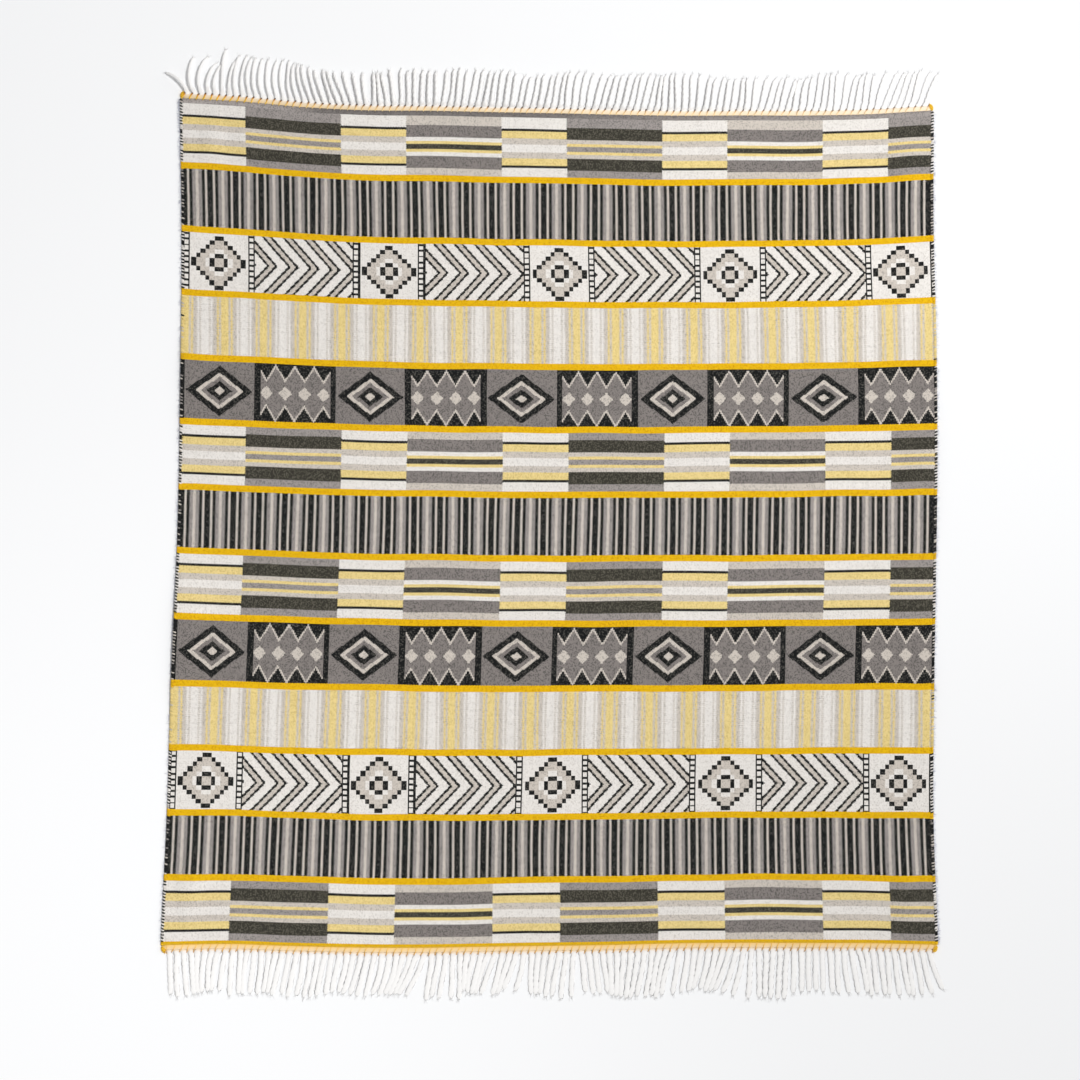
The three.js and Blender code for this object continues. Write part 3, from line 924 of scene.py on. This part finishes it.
def smooth_path(points, counts):
    """Points on a smooth curve through the given ones: a cubic on each stretch, whose slope at a point is
    the mean direction of the two stretches there times the stretch's length."""
    stretch = np.diff(points, axis=1)
    reach = np.linalg.norm(stretch, axis=2, keepdims=True)
    way = stretch / reach
    middle = unit(way[:, :-1] + way[:, 1:])
    last = unit(2 * way[:, -1:] - middle[:, -1:])
    slope = np.concatenate((way[:, :1], middle, last), axis=1)
    parts = []
    for k, count in enumerate(counts):
        t = np.linspace(0, 1, count, endpoint=False)[None, :, None]
        start, end = points[:, k : k + 1], points[:, k + 1 : k + 2]
        size = reach[:, k : k + 1]
        leave = slope[:, k : k + 1] * size
        arrive = slope[:, k + 1 : k + 2] * size
        parts.append(
            start * (2 * t**3 - 3 * t**2 + 1)
            + leave * (t**3 - 2 * t**2 + t)
            + end * (3 * t**2 - 2 * t**3)
            + arrive * (t**3 - t**2)
        )
    return np.concatenate((*parts, points[:, -1:]), axis=1)


def strand_build(end, across):
    """How the strands of an end are built, in shares of the radius: half width, half height, and how much of
    that height is lost by the tip."""
    if end == "top":
        wide = np.interp(across, (0, 0.22, 0.42, 1.1, 1.4), (0.76, 0.82, 1.06, 1.06, 1.25))
        stations = (0.1, 0.22, 0.3, 0.45, 0.6, 1.1, 1.4)
        plump = np.interp(across, stations, (0.26, 0.46, 0.94, 1.24, 1.34, 1.14, 0.44))
        fall = np.interp(across, (0.3, 0.6, 1.0), (0.0, 0.2, 0.5))
    else:
        wide = np.full_like(across, 1.46)
        plump = np.interp(across, (0, 1.5), (0.11, 0.18))
        fall = np.full_like(across, 0.2)
    return wide[:, None], plump[:, None], fall[:, None]


def strand_paths(lines, edge):
    """The strands' smooth paths along the surface, and the distance gone along each. They start at the
    cloth's edge, which they leave already in the direction of their first stretch."""
    leave = unit(lines[:, 1] - lines[:, 0])
    back = (lines[:, 0, 1] - edge) / leave[:, 1]
    root = (lines[:, 0] - leave * back[:, None])[:, None]
    path = smooth_path(np.concatenate((root, lines), axis=1), (7, 12, 12, 12))
    stretch = np.linalg.norm(np.diff(path, axis=1), axis=2)
    return path, np.concatenate((np.zeros((STRANDS, 1)), np.cumsum(stretch, axis=1)), axis=1)


def ply_section(half_wide, half_high, wound, parted):
    """Corner offsets of an oval that parts into two plies, turned by the angle that they have wound. A
    corner's distance is p |cos a| + sqrt(r^2 - p^2 sin^2 a), for plies of radius r, p off the middle."""
    corner = 2 * math.pi * np.arange(STRAND_SIDES) / STRAND_SIDES
    ply = PLY_APART * np.abs(np.cos(corner))
    ply = ply + np.sqrt(PLY_RADIUS**2 - PLY_APART**2 * np.sin(corner) ** 2)
    angle = wound[..., None] + corner
    swell = 1 - parted[..., None] * (1 - ply)
    side = half_wide[..., None] * swell * np.cos(angle)
    up = half_high[..., None] * swell * np.sin(angle)
    return np.stack((side, up), -1)


def fringe_shape(end, settings):
    """The strands of an end. Each follows its path with two plies that wind round each other once in the
    twist's length. At the hem the section is a flat oval as wide as the pitch, and it closes to the strand's
    own section over the first 26 mm. Strands near the top left corner are thin and arch high off the
    surface, and those of the bottom end lie wide and flat. Fine hairs spread at the tip."""
    out, end_along, _, seed = ENDS[end]
    across, lines = strand_lines(end)
    wide, plump, fall = strand_build(end, across)
    index = np.arange(STRANDS)
    y = place_at(across, end_along)[1]
    path, reach = strand_paths(lines, y + out * SEAM_GAP)
    whole = reach[:, -1:]
    radius = settings.radius * (0.94 + 0.12 * scatter(index, seed + 3))[:, None]
    closing = smooth(0.007, 0.026, reach)
    taper = 1 - 0.45 * smooth(0, 1, 1 - (whole - reach) / 0.007)
    half_wide = (ROOT_HALF_WIDE + closing * (radius * wide - ROOT_HALF_WIDE)) * taper
    high = radius * plump * (1 - fall * reach / whole)
    thinned = 1 - (0.45 if out > 0 else 0.85) * smooth(0, 1, 1 - (whole - reach) / 0.010)
    half_high = (ROOT_HALF_HIGH + smooth(0.008, 0.019, reach) * (high - ROOT_HALF_HIGH)) * thinned
    arch = 0.0026 * plump[:, 0] * scatter(index, seed + 4)
    arch = arch + ARCH_HIGH * (out > 0) * np.maximum(0, 1 - across / ARCH_REACH)
    bow = arch[:, None] * np.sin(math.pi * np.minimum(1, 0.12 + 0.80 * reach / whole))
    wiggle = 0.0004 * np.sin(2 * math.pi * (reach / 0.07 + scatter(index, seed + 5)[:, None]))
    way = unit(np.gradient(path, axis=1))
    aside = np.stack((way[..., 1], -way[..., 0]), -1)
    flat = path + (wiggle * closing)[..., None] * aside
    height = half_high + STRAND_CLEAR + bow * closing
    centres = np.concatenate((flat, height[..., None]), -1)
    hint = np.concatenate((aside * -1, np.zeros_like(aside[..., :1])), -1)
    wound = 2 * math.pi * (reach / settings.twist + scatter(index, seed + 6)[:, None])
    section = ply_section(half_wide, half_high, wound, smooth(0.004, 0.016, reach))
    strands = tubes(centres, hint, section)
    from_hem = out * (centres[..., 1] - y[:, None])
    reach = np.where(closing < 0.5, from_hem, reach)
    skin = np.broadcast_arrays(reach[..., None], np.arange(STRAND_SIDES) / STRAND_SIDES, 0.0)
    stored = skin_values(np.stack(skin, -1)) * (1.4 if out > 0 else 1.1, 1.0, 1.0)
    hairs, hair_stored = tip_hairs(centres, way, radius, settings.hairs, seed)
    points, quads, triangles = joined([strands, hairs])
    return points, quads, triangles, np.concatenate((stored, hair_stored))


def fibres(start, angle, length, height, half):
    """Loose fibres: thin three-sided tubes that start at their places and go on in equal steps, each in its
    own direction over the surface and to its own height."""
    share = np.linspace(0, 1, angle.shape[1])
    step = length[:, None, None] * np.diff(share)[None, :, None]
    moves = np.stack((np.cos(angle), np.sin(angle)), -1)[:, 1:] * step
    gone = np.concatenate((np.zeros((len(start), 1, 2)), np.cumsum(moves, axis=1)), axis=1)
    path = np.concatenate((start[:, None] + gone, height[..., None]), -1)
    aside = np.stack((-np.sin(angle), np.cos(angle), np.zeros_like(angle)), -1)
    return tubes(path, aside, round_section(3, half, half))


def tip_hairs(centres, way, radius, hairs, seed):
    """Loose fibres at the strands' tips, which start inside the tip, spread by up to 35 degrees and come
    down to the surface."""
    strand = np.repeat(np.arange(STRANDS), hairs)
    index = np.arange(STRANDS * hairs)
    tip = centres[strand, -1]
    ahead = way[strand, -1]
    turn = np.radians(35) * around_zero(index, seed + 7)
    bend = np.radians(30) * around_zero(index, seed + 8)
    length = 0.004 + 0.007 * scatter(index, seed + 9) ** 1.5
    offset = (scatter(index, seed + 10) - 0.5) * radius[strand, 0] * 1.1
    t = np.linspace(0, 1, 5)
    angle = np.arctan2(ahead[:, 1], ahead[:, 0])[:, None] + turn[:, None] + bend[:, None] * t
    start = tip[:, :2] - 0.002 * ahead + offset[:, None] * np.stack((ahead[:, 1], -ahead[:, 0]), -1)
    top = 0.0001 + tip[:, 2] * (0.6 + 0.9 * scatter(index, seed + 12))
    low = 0.0005 + 0.0012 * scatter(index, seed + 13)
    height = top[:, None] + (low - top)[:, None] * t**0.7
    tube = fibres(start, angle, length, height, 0.00032 * (1 - 0.6 * t))
    return tube, np.broadcast_to((0.09, 0.0, 1.0), (len(tube[0]), 3))


def hem_strip_shape(end):
    """A flat strip under the strands' roots that follows the end from side to side: an oval 11 mm by 2 mm
    carried along the cloth's end."""
    out, end_along, _, _ = ENDS[end]
    middle = 0.0040 if out > 0 else 0.0024
    across = np.linspace(0.003, WIDTH - 0.003, HEM_RINGS)
    x, y = place_at(across, end_along)
    centres = np.stack((x, y + out * (SEAM_GAP + middle), np.full_like(x, 0.0025)), -1)[None]
    ends = smooth(0, 0.012, np.minimum(across, WIDTH - across) + 0.004)
    return tubes(centres, (0.0, 1.0, 0.0), round_section(HEM_SIDES, 0.0055 * ends, 0.0010 * ends))


def hem_strip_colour(end):
    """The linear colour of the strip: golden at the cloth and pale peach away from it. At the top end it is
    deepest at the left and palest at the right."""
    out = ENDS[end][0]
    if out > 0:
        inner = ((228, 198, 142), (235, 208, 162), (241, 217, 176), (246, 223, 188))
        outer = (246, 232, 212)
    else:
        inner = ((244, 202, 118),) * 4
        outer = (246, 222, 188)
    rings = colours_at(np.linspace(0, 1, HEM_RINGS), (0.08, 0.30, 0.60, 0.85), inner)[:, None]
    far = (0.5 + 0.5 * out * np.cos(2 * math.pi * np.arange(HEM_SIDES) / HEM_SIDES))[None, :, None]
    return skin_values((rings + far * (np.array(linear(outer)) - rings))[None])


def overcast_colour(end, across, share):
    """The linear colour of each stitch at shares of its length. At the top end it turns dark brown where it
    comes down between the strands, which is painted shadow. From side to side it changes between rows of
    colours at their stations."""
    if end == "top":
        # Painted shadow: the dark last colour of each top row, at the stitch's outer end.
        corner = ((240, 196, 50), (242, 190, 60), (214, 140, 50), (84, 62, 46))
        middle = ((249, 224, 172), (247, 206, 138), (176, 128, 88), (52, 42, 36))
        right = ((250, 228, 184), (248, 216, 160), (220, 174, 128), (104, 84, 68))
        rows, stations = (corner, middle, middle, right), (0.12, 0.32, 0.90, 1.25)
    else:
        even = ((244, 200, 84), (244, 200, 100), (238, 178, 76), (232, 168, 72))
        rows, stations = (even, even), (0.0, WIDTH)
    rings = np.stack([colours_at(share, (0, 0.42, 0.68, 0.88), row) for row in rows])
    place = np.interp(across, stations, np.arange(len(stations)))
    low = np.minimum(place.astype(int), len(stations) - 2)
    between = (place - low)[:, None, None]
    return rings[low] * (1 - between) + rings[low + 1] * between


def overcast_shape(end, settings):
    """Slanted stitches over the hem, one between each two strands: each rises over the cloth's end and the
    flat roots in a low arc and comes down between the strands, leaning to the right as it goes up. Those of
    the top end are thickest at its left, and those of the bottom end are longer and thinner."""
    out, end_along, _, seed = ENDS[end]
    index = np.arange(STRANDS + 1)
    across = STRAND_INSET + (index - 0.5) * STRAND_PITCH + 0.0012 * (scatter(index, seed + 20) - 0.5)
    t = np.linspace(0, 1, 9)
    reach = 0.0128 if out > 0 else 0.0152
    deep = -0.0016 + (reach + 0.0026 * (scatter(index, seed + 21) - 0.5))[:, None] * t
    x, y = place_at(across[:, None], end_along)
    slope = (0.0064 + 0.0030 * (scatter(index, seed + 23) - 0.5))[:, None]
    lean = slope * out * (t - 0.8) + 0.0006 * np.sin(2 * math.pi * (t + scatter(index, seed + 24)[:, None]))
    high = 0.0032 + 0.0024 * np.sin(math.pi * (0.06 + 0.80 * t)) - 0.0004 * t
    centres = np.stack(np.broadcast_arrays(x + lean, y + out * deep, high), -1)
    stout = np.interp(across, (0, 0.2, 0.5, 0.9), (1.4, 1.2, 1.0, 0.8)) if out > 0 else 0.62 + 0 * across
    ends = (0.7, 0.9, 0.9, 1.3, 0.9) if out > 0 else (0.7, 0.9, 1.0, 1.2, 0.5)
    thick = settings.yarn * stout[:, None] * np.interp(t, (0, 0.3, 0.6, 0.85, 1), ends)
    tube = tubes(centres, (1.0, 0.0, 0.0), round_section(YARN_SIDES, thick, thick * 0.8))
    # A random tone for each stitch, not light or shade.
    stitch_tone = (0.88 + 0.24 * scatter(index, seed + 22))[:, None, None]
    return tube, ring_values(overcast_colour(end, across, t) * stitch_tone, YARN_SIDES)


def edge_yarn(band_kind, in_gold, index, seed):
    """The linear colour of each side stitch: gold beside gold stripes, pale yellow and grey beside pale
    stripes, black and cream in turn beside blocks and cream figures, and nearly all black elsewhere."""
    table = np.array([linear(row[0])[:3] for row in YARNS])
    luck = scatter(index, seed)
    odd = (index % 2 == 1) ^ (scatter(index, seed + 5) > 0.93)
    yarn = np.where(odd & (luck > 0.35), np.where(luck > 0.75, LIGHT, MID), BLACK)
    mixed = (band_kind == BLOCKS) | (band_kind == ON_CREAM)
    yarn = np.where(mixed, np.where(odd, np.where(luck > 0.12, CREAM, LIGHT), BLACK), yarn)
    beside_pale = np.where(odd | (luck > 0.35), PALE, np.where(luck > 0.15, LIGHT, BLACK))
    yarn = np.where(band_kind == PALE_LINES, beside_pale, yarn)
    yarn = np.where(in_gold, GOLD, yarn)
    colour = table[yarn] * (0.85 + 0.3 * scatter(index, seed + 1))[:, None]
    return np.concatenate((colour, np.ones((len(index), 1))), axis=1)


def side_stitch_shape(right, settings):
    """Slanted stitches over a side edge: each runs out from about 5 mm inside on the face, round the edge
    and back under it, and moves a little along the cloth as it goes. The profile gives the distance inside
    the edge and the height in thicknesses."""
    pitch = settings.stitch
    count = int((LENGTH - 0.004) / pitch)
    index = np.arange(count)
    seed = 41 if right else 47
    inside = MM * np.array((5.0, 4.2, 3.0, 1.5, 0.2, -0.8, -1.0, 0.0))
    high = np.array((0.98, 1.18, 1.22, 1.18, 1.00, 0.70, 0.42, 0.26))
    middle = 0.003 + pitch * (index + 0.5) + pitch * 0.3 * (scatter(index, seed + 2) - 0.5)
    slant = (0.0010 + 0.0030 * scatter(index, seed + 4))[:, None] * np.linspace(0.5, -0.5, len(high))
    along = np.clip(middle[:, None] + slant, 0.0005, LENGTH - 0.0005)
    deep = inside * (0.70 + 0.42 * scatter(index, seed + 3))[:, None]
    across = WIDTH - deep if right else deep
    x, y = place_at(across, along)
    z = lift_at(np.clip(across, 0, WIDTH), along) + THICK * high
    thin = 1 - 0.4 * np.abs(np.linspace(-1, 1, len(high))) ** 4
    section = round_section(YARN_SIDES, pitch * 0.47 * thin, 0.0007 * thin)
    tube = tubes(np.stack((x, y, z), -1), (0.0, 1.0, 0.0), section)
    woven = woven_at(middle)
    k = np.clip(np.floor((woven - FIRST_BAND) / BAND_STEP), 0, len(BANDS) - 1).astype(int)
    in_gold = woven - FIRST_BAND - k * BAND_STEP > BAND_HIGH
    colour = edge_yarn(np.array(BANDS)[k], in_gold, index, seed)
    return tube, ring_values(np.repeat(colour[:, None], len(high), axis=1), YARN_SIDES)


def edge_fuzz_shape(right):
    """Loose fibres along a side edge, 3 to 9 mm long, that leave the edge within 60 degrees of straight out,
    bend by up to 35 degrees and come down to the surface. They lie closest together near the top left corner
    and near the bottom right one. Their pale bluish grey is painted shade: it stands for the soft shadow
    beside the edge."""
    seed = 61 if right else 67
    index = np.arange(1500)
    share = scatter(index, seed) ** 1.5
    along = 0.006 + (LENGTH - 0.012) * (1 - share if right else share)
    across = np.full_like(along, WIDTH if right else 0.0)
    t = np.linspace(0, 1, 4)
    turn = np.radians(60) * around_zero(index, seed + 1)
    bend = np.radians(35) * around_zero(index, seed + 2)
    angle = (0.0 if right else math.pi) + turn[:, None] + bend[:, None] * t
    length = 0.003 + 0.006 * scatter(index, seed + 3) ** 1.3
    top = lift_at(across, along) + THICK * (0.3 + 0.6 * scatter(index, seed + 4))
    low = 0.0006 + 0.4 * (top - 0.0006)
    height = top[:, None] + (low - top)[:, None] * t
    start = np.stack(place_at(across, along), -1)
    tube = fibres(start, angle, length, height, 0.00030 * (1 - 0.5 * t))
    # Painted shade: the fibres' pale bluish grey stands for the soft shadow beside the edge.
    return tube, np.broadcast_to(linear((206, 208, 220)), (len(tube[0]), 4))


def knot_tails(x, y, out, inward, seed):
    """The two short yarn ends of a corner knot, which part as they come down to the surface."""
    share = np.linspace(0, 1, 7)
    index = np.arange(2)
    bend = (scatter(index, seed + 31) - 0.5)[:, None]
    far = (0.005 + 0.003 * scatter(index, seed + 32))[:, None] * share
    across = x + inward * (0.0016 + (0.3 + 0.9 * index[:, None]) * far + 0.004 * bend * share**2)
    deep = y + out * (SEAM_GAP + 1.55 * TIE_HALF_DEEP + 0.9 * far)
    path = np.stack(np.broadcast_arrays(across, deep, 0.0026 - 0.0016 * share), -1)
    thin = 0.0006 * (1 - 0.4 * share)
    return tubes(path, (1.0, 0.0, 0.0), round_section(5, thin, thin))


def knot_shape(end, right):
    """A corner knot: an egg that leans in from the corner, flat underneath, with slanted winds of yarn
    raised round it, and two short yarn ends. The radius at a share t of its length is sqrt(1 - t^2) times
    0.98 plus 0.17 cos of the winds. Its gold is darkened in the winds' grooves as painted shade and
    lightened on their crests as painted highlight."""
    out, end_along, _, seed = ENDS[end]
    inward = -1 if right else 1
    across = WIDTH - TIE_HALF_WIDE if right else TIE_HALF_WIDE
    x, y = place_at(across, end_along)
    half_high = TIE_HIGH / 1.55
    t = np.sin(np.linspace(-0.494, 0.494, 41) * math.pi)
    deep = SEAM_GAP + TIE_HALF_DEEP * (1 + t)
    corner = 2 * math.pi * np.arange(20) / 20
    wind = np.cos(2 * math.pi * 2.4 * t[:, None] + inward * corner + seed + inward)
    swell = np.sqrt(1 - t**2)[:, None] * (0.98 + 0.17 * wind)
    side = TIE_HALF_WIDE * swell * np.cos(corner)
    up = np.maximum(half_high * swell * np.sin(corner), -half_high * 0.55)
    lean = inward * 0.42 * TIE_HALF_DEEP * t
    centres = np.stack((x + lean, y + out * deep, np.full_like(t, half_high * 0.55)), -1)
    egg = tubes(centres[None], (-1.0 * out, 0.0, 0.0), np.stack((side, up), -1))
    # Painted shade and highlight: dark brown in the grooves of the winds, pale gold on their crests.
    tints = ((172, 112, 24), (236, 184, 34), (250, 208, 66))
    colours = skin_values(colours_at(wind, (-1, -0.3, 1), tints)[None])
    tails = knot_tails(x, y, out, inward, seed)
    plain = np.broadcast_to(linear(tints[1]), (len(tails[0]), 4))
    return joined([egg, tails]), np.concatenate((colours, plain))


def setting(name, description, default, **more):
    """A number that can be set; more holds its unit or its limits."""
    return bpy.props.FloatProperty(name=name, description=description, default=default, **more)


class ClothSettings(bpy.types.PropertyGroup):
    """Sizes of the cloth's surface."""

    ripple: setting("Ripple", "Height of the face's soft ripple", 0.0005, min=0.0, unit="LENGTH")
    flecks: setting("Flecks", "How many of the flecks in each yarn show", 1.0, min=0.0, max=2.0)
    nap: setting("Nap", "Strength of the brushed surface's relief", 0.5, min=0.0, max=1.0)
    stitch: setting("Stitch pitch", "From one side stitch to the next", 0.0030, unit="LENGTH")


class FringeSettings(bpy.types.PropertyGroup):
    """Sizes of the fringes and the hem's yarn."""

    radius: setting("Strand radius", "Half the width of a strand", 0.0039, unit="LENGTH")
    twist: setting("Twist", "Length in which the plies wind once", 0.024, unit="LENGTH")
    hairs: bpy.props.IntProperty(
        name="Tip hairs", description="Loose fibres at each strand's tip", default=10, min=1, max=20
    )
    fuzz: setting("Fuzz", "Strength of the strands' fibre relief", 0.5, min=0.0, max=1.0)
    yarn: setting("Hem yarn", "Half the width of a hem stitch", 0.00115, unit="LENGTH")


class StageSettings(bpy.types.PropertyGroup):
    """The camera, the light and the floor."""

    distance: setting("Distance", "From the camera to the cloth", 3.6, unit="LENGTH")
    lens: setting("Lens", "Focal length in millimetres", 60.4)
    elevation: setting("Elevation", "Height of the line of sight", math.radians(88), subtype="ANGLE")
    key: setting("Key light", "Strength of the main light", 2.30)
    uneven: setting("Uneven", "How much the main light changes over the cloth", 0.166)
    side: setting("Side light", "Strength of the low side light", 0.54)
    far: setting("Far light", "Strength of the light from the left", 0.24)
    fill: setting("Fill light", "Strength of the light all round", 0.28)
    floor: bpy.props.FloatVectorProperty(
        name="Floor", description="Colour of the floor", default=(0.92, 0.92, 0.924), size=3,
        subtype="COLOR",
    )


class BEDSPREAD_OT_cloth(bpy.types.Operator):
    """Build the woven cloth"""

    bl_idname = "bedspread.cloth"
    bl_label = "Cloth"

    def execute(self, context):
        settings = context.scene.bedspread_cloth
        points, quads, weave = cloth_shape(settings)
        made = mesh_object("woven_cloth", points, quads)
        store(made, "weave", weave)
        cloth_map(made)
        worn(made, wool_paint(settings), "cloth_wool", "cloth")
        return {"FINISHED"}


class BEDSPREAD_OT_side_stitches(bpy.types.Operator):
    """Build the stitches over both side edges"""

    bl_idname = "bedspread.side_stitches"
    bl_label = "Side stitches"

    def execute(self, context):
        material = yarn_paint("side_stitch_wool", "yarn_colour")
        for name, right in (("left", False), ("right", True)):
            tube, colours = side_stitch_shape(right, context.scene.bedspread_cloth)
            # The fuzz's pale bluish grey is painted shade beside the edge.
            fuzz, pale = edge_fuzz_shape(right)
            made = mesh_object(f"side_stitches_{name}", *joined([tube, fuzz]))
            store(made, "yarn_colour", np.concatenate((colours, pale)))
            worn(made, material, "cloth_wool", "cloth")
        return {"FINISHED"}


class BEDSPREAD_OT_fringes(bpy.types.Operator):
    """Build the twisted strands of both ends"""

    bl_idname = "bedspread.fringes"
    bl_label = "Fringes"

    def execute(self, context):
        settings = context.scene.bedspread_fringe
        material = strand_paint(settings)
        for end in ENDS:
            points, quads, triangles, stored = fringe_shape(end, settings)
            made = mesh_object(f"strands_{end}", points, quads, triangles)
            store(made, "yarn", stored)
            worn(made, material, "fringe_wool", f"fringe_{end}")
        return {"FINISHED"}


class BEDSPREAD_OT_hems(bpy.types.Operator):
    """Build the hem strips, the stitches over them and the corner knots"""

    bl_idname = "bedspread.hems"
    bl_label = "Hems and knots"

    def execute(self, context):
        settings = context.scene.bedspread_fringe
        material = yarn_paint("gold_hem_yarn", "yarn_colour")
        for end in ENDS:
            strip = hem_strip_shape(end)
            stitches, colours = overcast_shape(end, settings)
            made = mesh_object(f"hem_{end}", *joined([strip, stitches]))
            store(made, "yarn_colour", np.concatenate((hem_strip_colour(end), colours)))
            worn(made, material, "fringe_wool", f"fringe_{end}")
            for side, right in (("left", False), ("right", True)):
                knot, tints = knot_shape(end, right)
                made = mesh_object(f"knot_{end}_{side}", *knot)
                store(made, "yarn_colour", tints)
                worn(made, material, "hem_yarn", f"tie_{end}_{side}")
        return {"FINISHED"}


def placed(name, data, turn, place=(0.0, 0.0, 0.0)):
    """Puts a camera or a lamp into the scene."""
    made = bpy.data.objects.new(name, data)
    made.rotation_euler = turn
    made.location = place
    bpy.context.scene.collection.objects.link(made)
    return made


# Where the key light stands from the middle of the cloth: right, up the cloth and above
KEY_OFFSET = (2.0, 0.60, 5.2)
KEY_EDGE = 0.92


def uneven_light(tree, uneven):
    """Makes the key light fall off only with its slant, and a little brighter towards the top right and the
    bottom left of the surface. Where a ray meets the surface is found from its direction. The share there is
    1 + uneven (sin a sin b + 0.3 sin b), with a and b the places across and along, limited at the edges."""
    ray = tree.nodes.new("ShaderNodeSeparateXYZ")
    tree.links.new(tree.nodes.new("ShaderNodeNewGeometry").outputs["Incoming"], ray.inputs[0])
    x, y, z = (Reading(tree, socket) for socket in ray.outputs)
    waves = []
    for way, start in zip((x, y), KEY_OFFSET):
        place = number(tree, "MINIMUM", start - way / z * KEY_OFFSET[2], KEY_EDGE)
        place = number(tree, "MAXIMUM", place, -KEY_EDGE)
        waves.append(number(tree, "SINE", place * 1.7))
    share = (waves[0] + 0.3) * waves[1] * uneven + 1
    even = tree.nodes.new("ShaderNodeLightFalloff")
    feed(tree, even.inputs["Strength"], share)
    tree.links.new(even.outputs["Constant"], tree.nodes["Emission"].inputs["Strength"])


def make_camera(settings, target):
    """A camera that looks at the target from nearly straight above."""
    back = (0.0, -math.cos(settings.elevation), math.sin(settings.elevation))
    place = [t + settings.distance * b for t, b in zip(target, back)]
    turn = (math.pi / 2 - settings.elevation, 0.0, 0.0)
    camera = placed("camera", bpy.data.cameras.new("camera"), turn, place)
    camera.data.lens = settings.lens
    camera.data.sensor_width = 36
    bpy.context.scene.camera = camera


def make_lights(settings, target):
    """One soft key light from the right, a low side light, a far light from the left and a weak fill."""
    for name, strength, soft, tilt, across in (
        ("side_light", settings.side, 36, -12, 62),
        ("far_light", settings.far, 40, 10, -62),
    ):
        turn = (math.radians(tilt), math.radians(across), 0.0)
        light = placed(name, bpy.data.lights.new(name, "SUN"), turn)
        light.data.energy = strength
        light.data.angle = math.radians(soft)
    right, up, high = KEY_OFFSET
    turn = (0.0, math.atan2(math.hypot(right, up), high), math.atan2(up, right))
    place = [t + d for t, d in zip(target, KEY_OFFSET)]
    key = placed("key_light", bpy.data.lights.new("key_light", "AREA"), turn, place)
    key.data.shape = "DISK"
    key.data.size = 0.95
    key.data.energy = settings.key * math.pi
    key.data.use_nodes = True
    uneven_light(key.data.node_tree, settings.uneven)
    world = bpy.data.worlds.new("studio")
    world.use_nodes = True
    background = world.node_tree.nodes["Background"]
    background.inputs["Color"].default_value = (0.97, 0.985, 1.0, 1.0)
    background.inputs["Strength"].default_value = settings.fill
    bpy.context.scene.world = world


def make_floor(settings):
    """A plain square floor, a little below the cloth, whose tone changes softly from side to side by 1.003 -
    0.030 sin a - 0.027 sin b - 0.045 sin a sin b, with a and b its places across and along. This is painted
    light and shade: the floor is darker towards the top right and lighter towards the top left and bottom
    right, against the key light's own unevenness."""
    reach = 8.0
    corners = np.array([(-reach, -reach), (reach, -reach), (-reach, reach), (reach, reach)])
    points = np.concatenate((corners, np.full((4, 1), -0.0003)), axis=1)
    floor = mesh_object("floor", points, np.array([(0, 1, 3, 2)]))
    paint = Paint("studio_floor", 0.0, 0.5, 0.0)
    side, up, _ = paint.split(paint.node("ShaderNodeTexCoord", output="Object"))
    waves = [number(paint.tree, "SINE", way * 1.5) for way in (side, up)]
    # Painted light and shade: darker towards the top right, lighter towards the top left and bottom right.
    tone = 1.003 - waves[0] * 0.030 - waves[1] * 0.027 - waves[0] * waves[1] * 0.045
    colour = paint.scaled(tuple(settings.floor), tone)
    floor.data.materials.append(paint.finish(colour, 1.0, 0.0, 0.001, 0.0))


class BEDSPREAD_OT_stage(bpy.types.Operator):
    """Make the camera, the lights and the floor"""

    bl_idname = "bedspread.stage"
    bl_label = "Stage"

    def execute(self, context):
        settings = context.scene.bedspread_stage
        x, y = place_at(WIDTH / 2, LENGTH / 2)
        target = (x - 0.034, y - 0.026, 0.003)
        make_camera(settings, target)
        make_lights(settings, target)
        make_floor(settings)
        context.scene.view_settings.view_transform = "Standard"
        return {"FINISHED"}


class BEDSPREAD_PT_panel(bpy.types.Panel):
    """Lists the pieces of the bedspread"""

    bl_idname = "BEDSPREAD_PT_panel"
    bl_label = "Bedspread"
    bl_space_type = "VIEW_3D"
    bl_region_type = "UI"
    bl_category = "Bedspread"

    def draw(self, context):
        for operator in OPERATORS:
            self.layout.operator(operator.bl_idname)
        for group in ("bedspread_cloth", "bedspread_fringe", "bedspread_stage"):
            settings = getattr(context.scene, group)
            box = self.layout.box()
            for name in settings.bl_rna.properties.keys():
                if name not in ("rna_type", "name"):
                    box.prop(settings, name)


OPERATORS = (
    BEDSPREAD_OT_stage,
    BEDSPREAD_OT_cloth,
    BEDSPREAD_OT_side_stitches,
    BEDSPREAD_OT_fringes,
    BEDSPREAD_OT_hems,
)
GROUPS = {
    "bedspread_cloth": ClothSettings,
    "bedspread_fringe": FringeSettings,
    "bedspread_stage": StageSettings,
}


def register():
    """Registers the settings, the operators and the panel."""
    for name, group in GROUPS.items():
        bpy.utils.register_class(group)
        setattr(bpy.types.Scene, name, bpy.props.PointerProperty(type=group))
    for kind in (*OPERATORS, BEDSPREAD_PT_panel):
        bpy.utils.register_class(kind)


def unregister():
    """Takes back what register did."""
    for kind in (BEDSPREAD_PT_panel, *reversed(OPERATORS)):
        bpy.utils.unregister_class(kind)
    for name, group in GROUPS.items():
        delattr(bpy.types.Scene, name)
        bpy.utils.unregister_class(group)


def main():
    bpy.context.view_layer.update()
    register()
    bpy.ops.bedspread.stage()
    bpy.ops.bedspread.cloth()
    bpy.ops.bedspread.side_stitches()
    bpy.ops.bedspread.fringes()
    bpy.ops.bedspread.hems()
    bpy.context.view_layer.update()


if __name__ == "__main__":
    main()
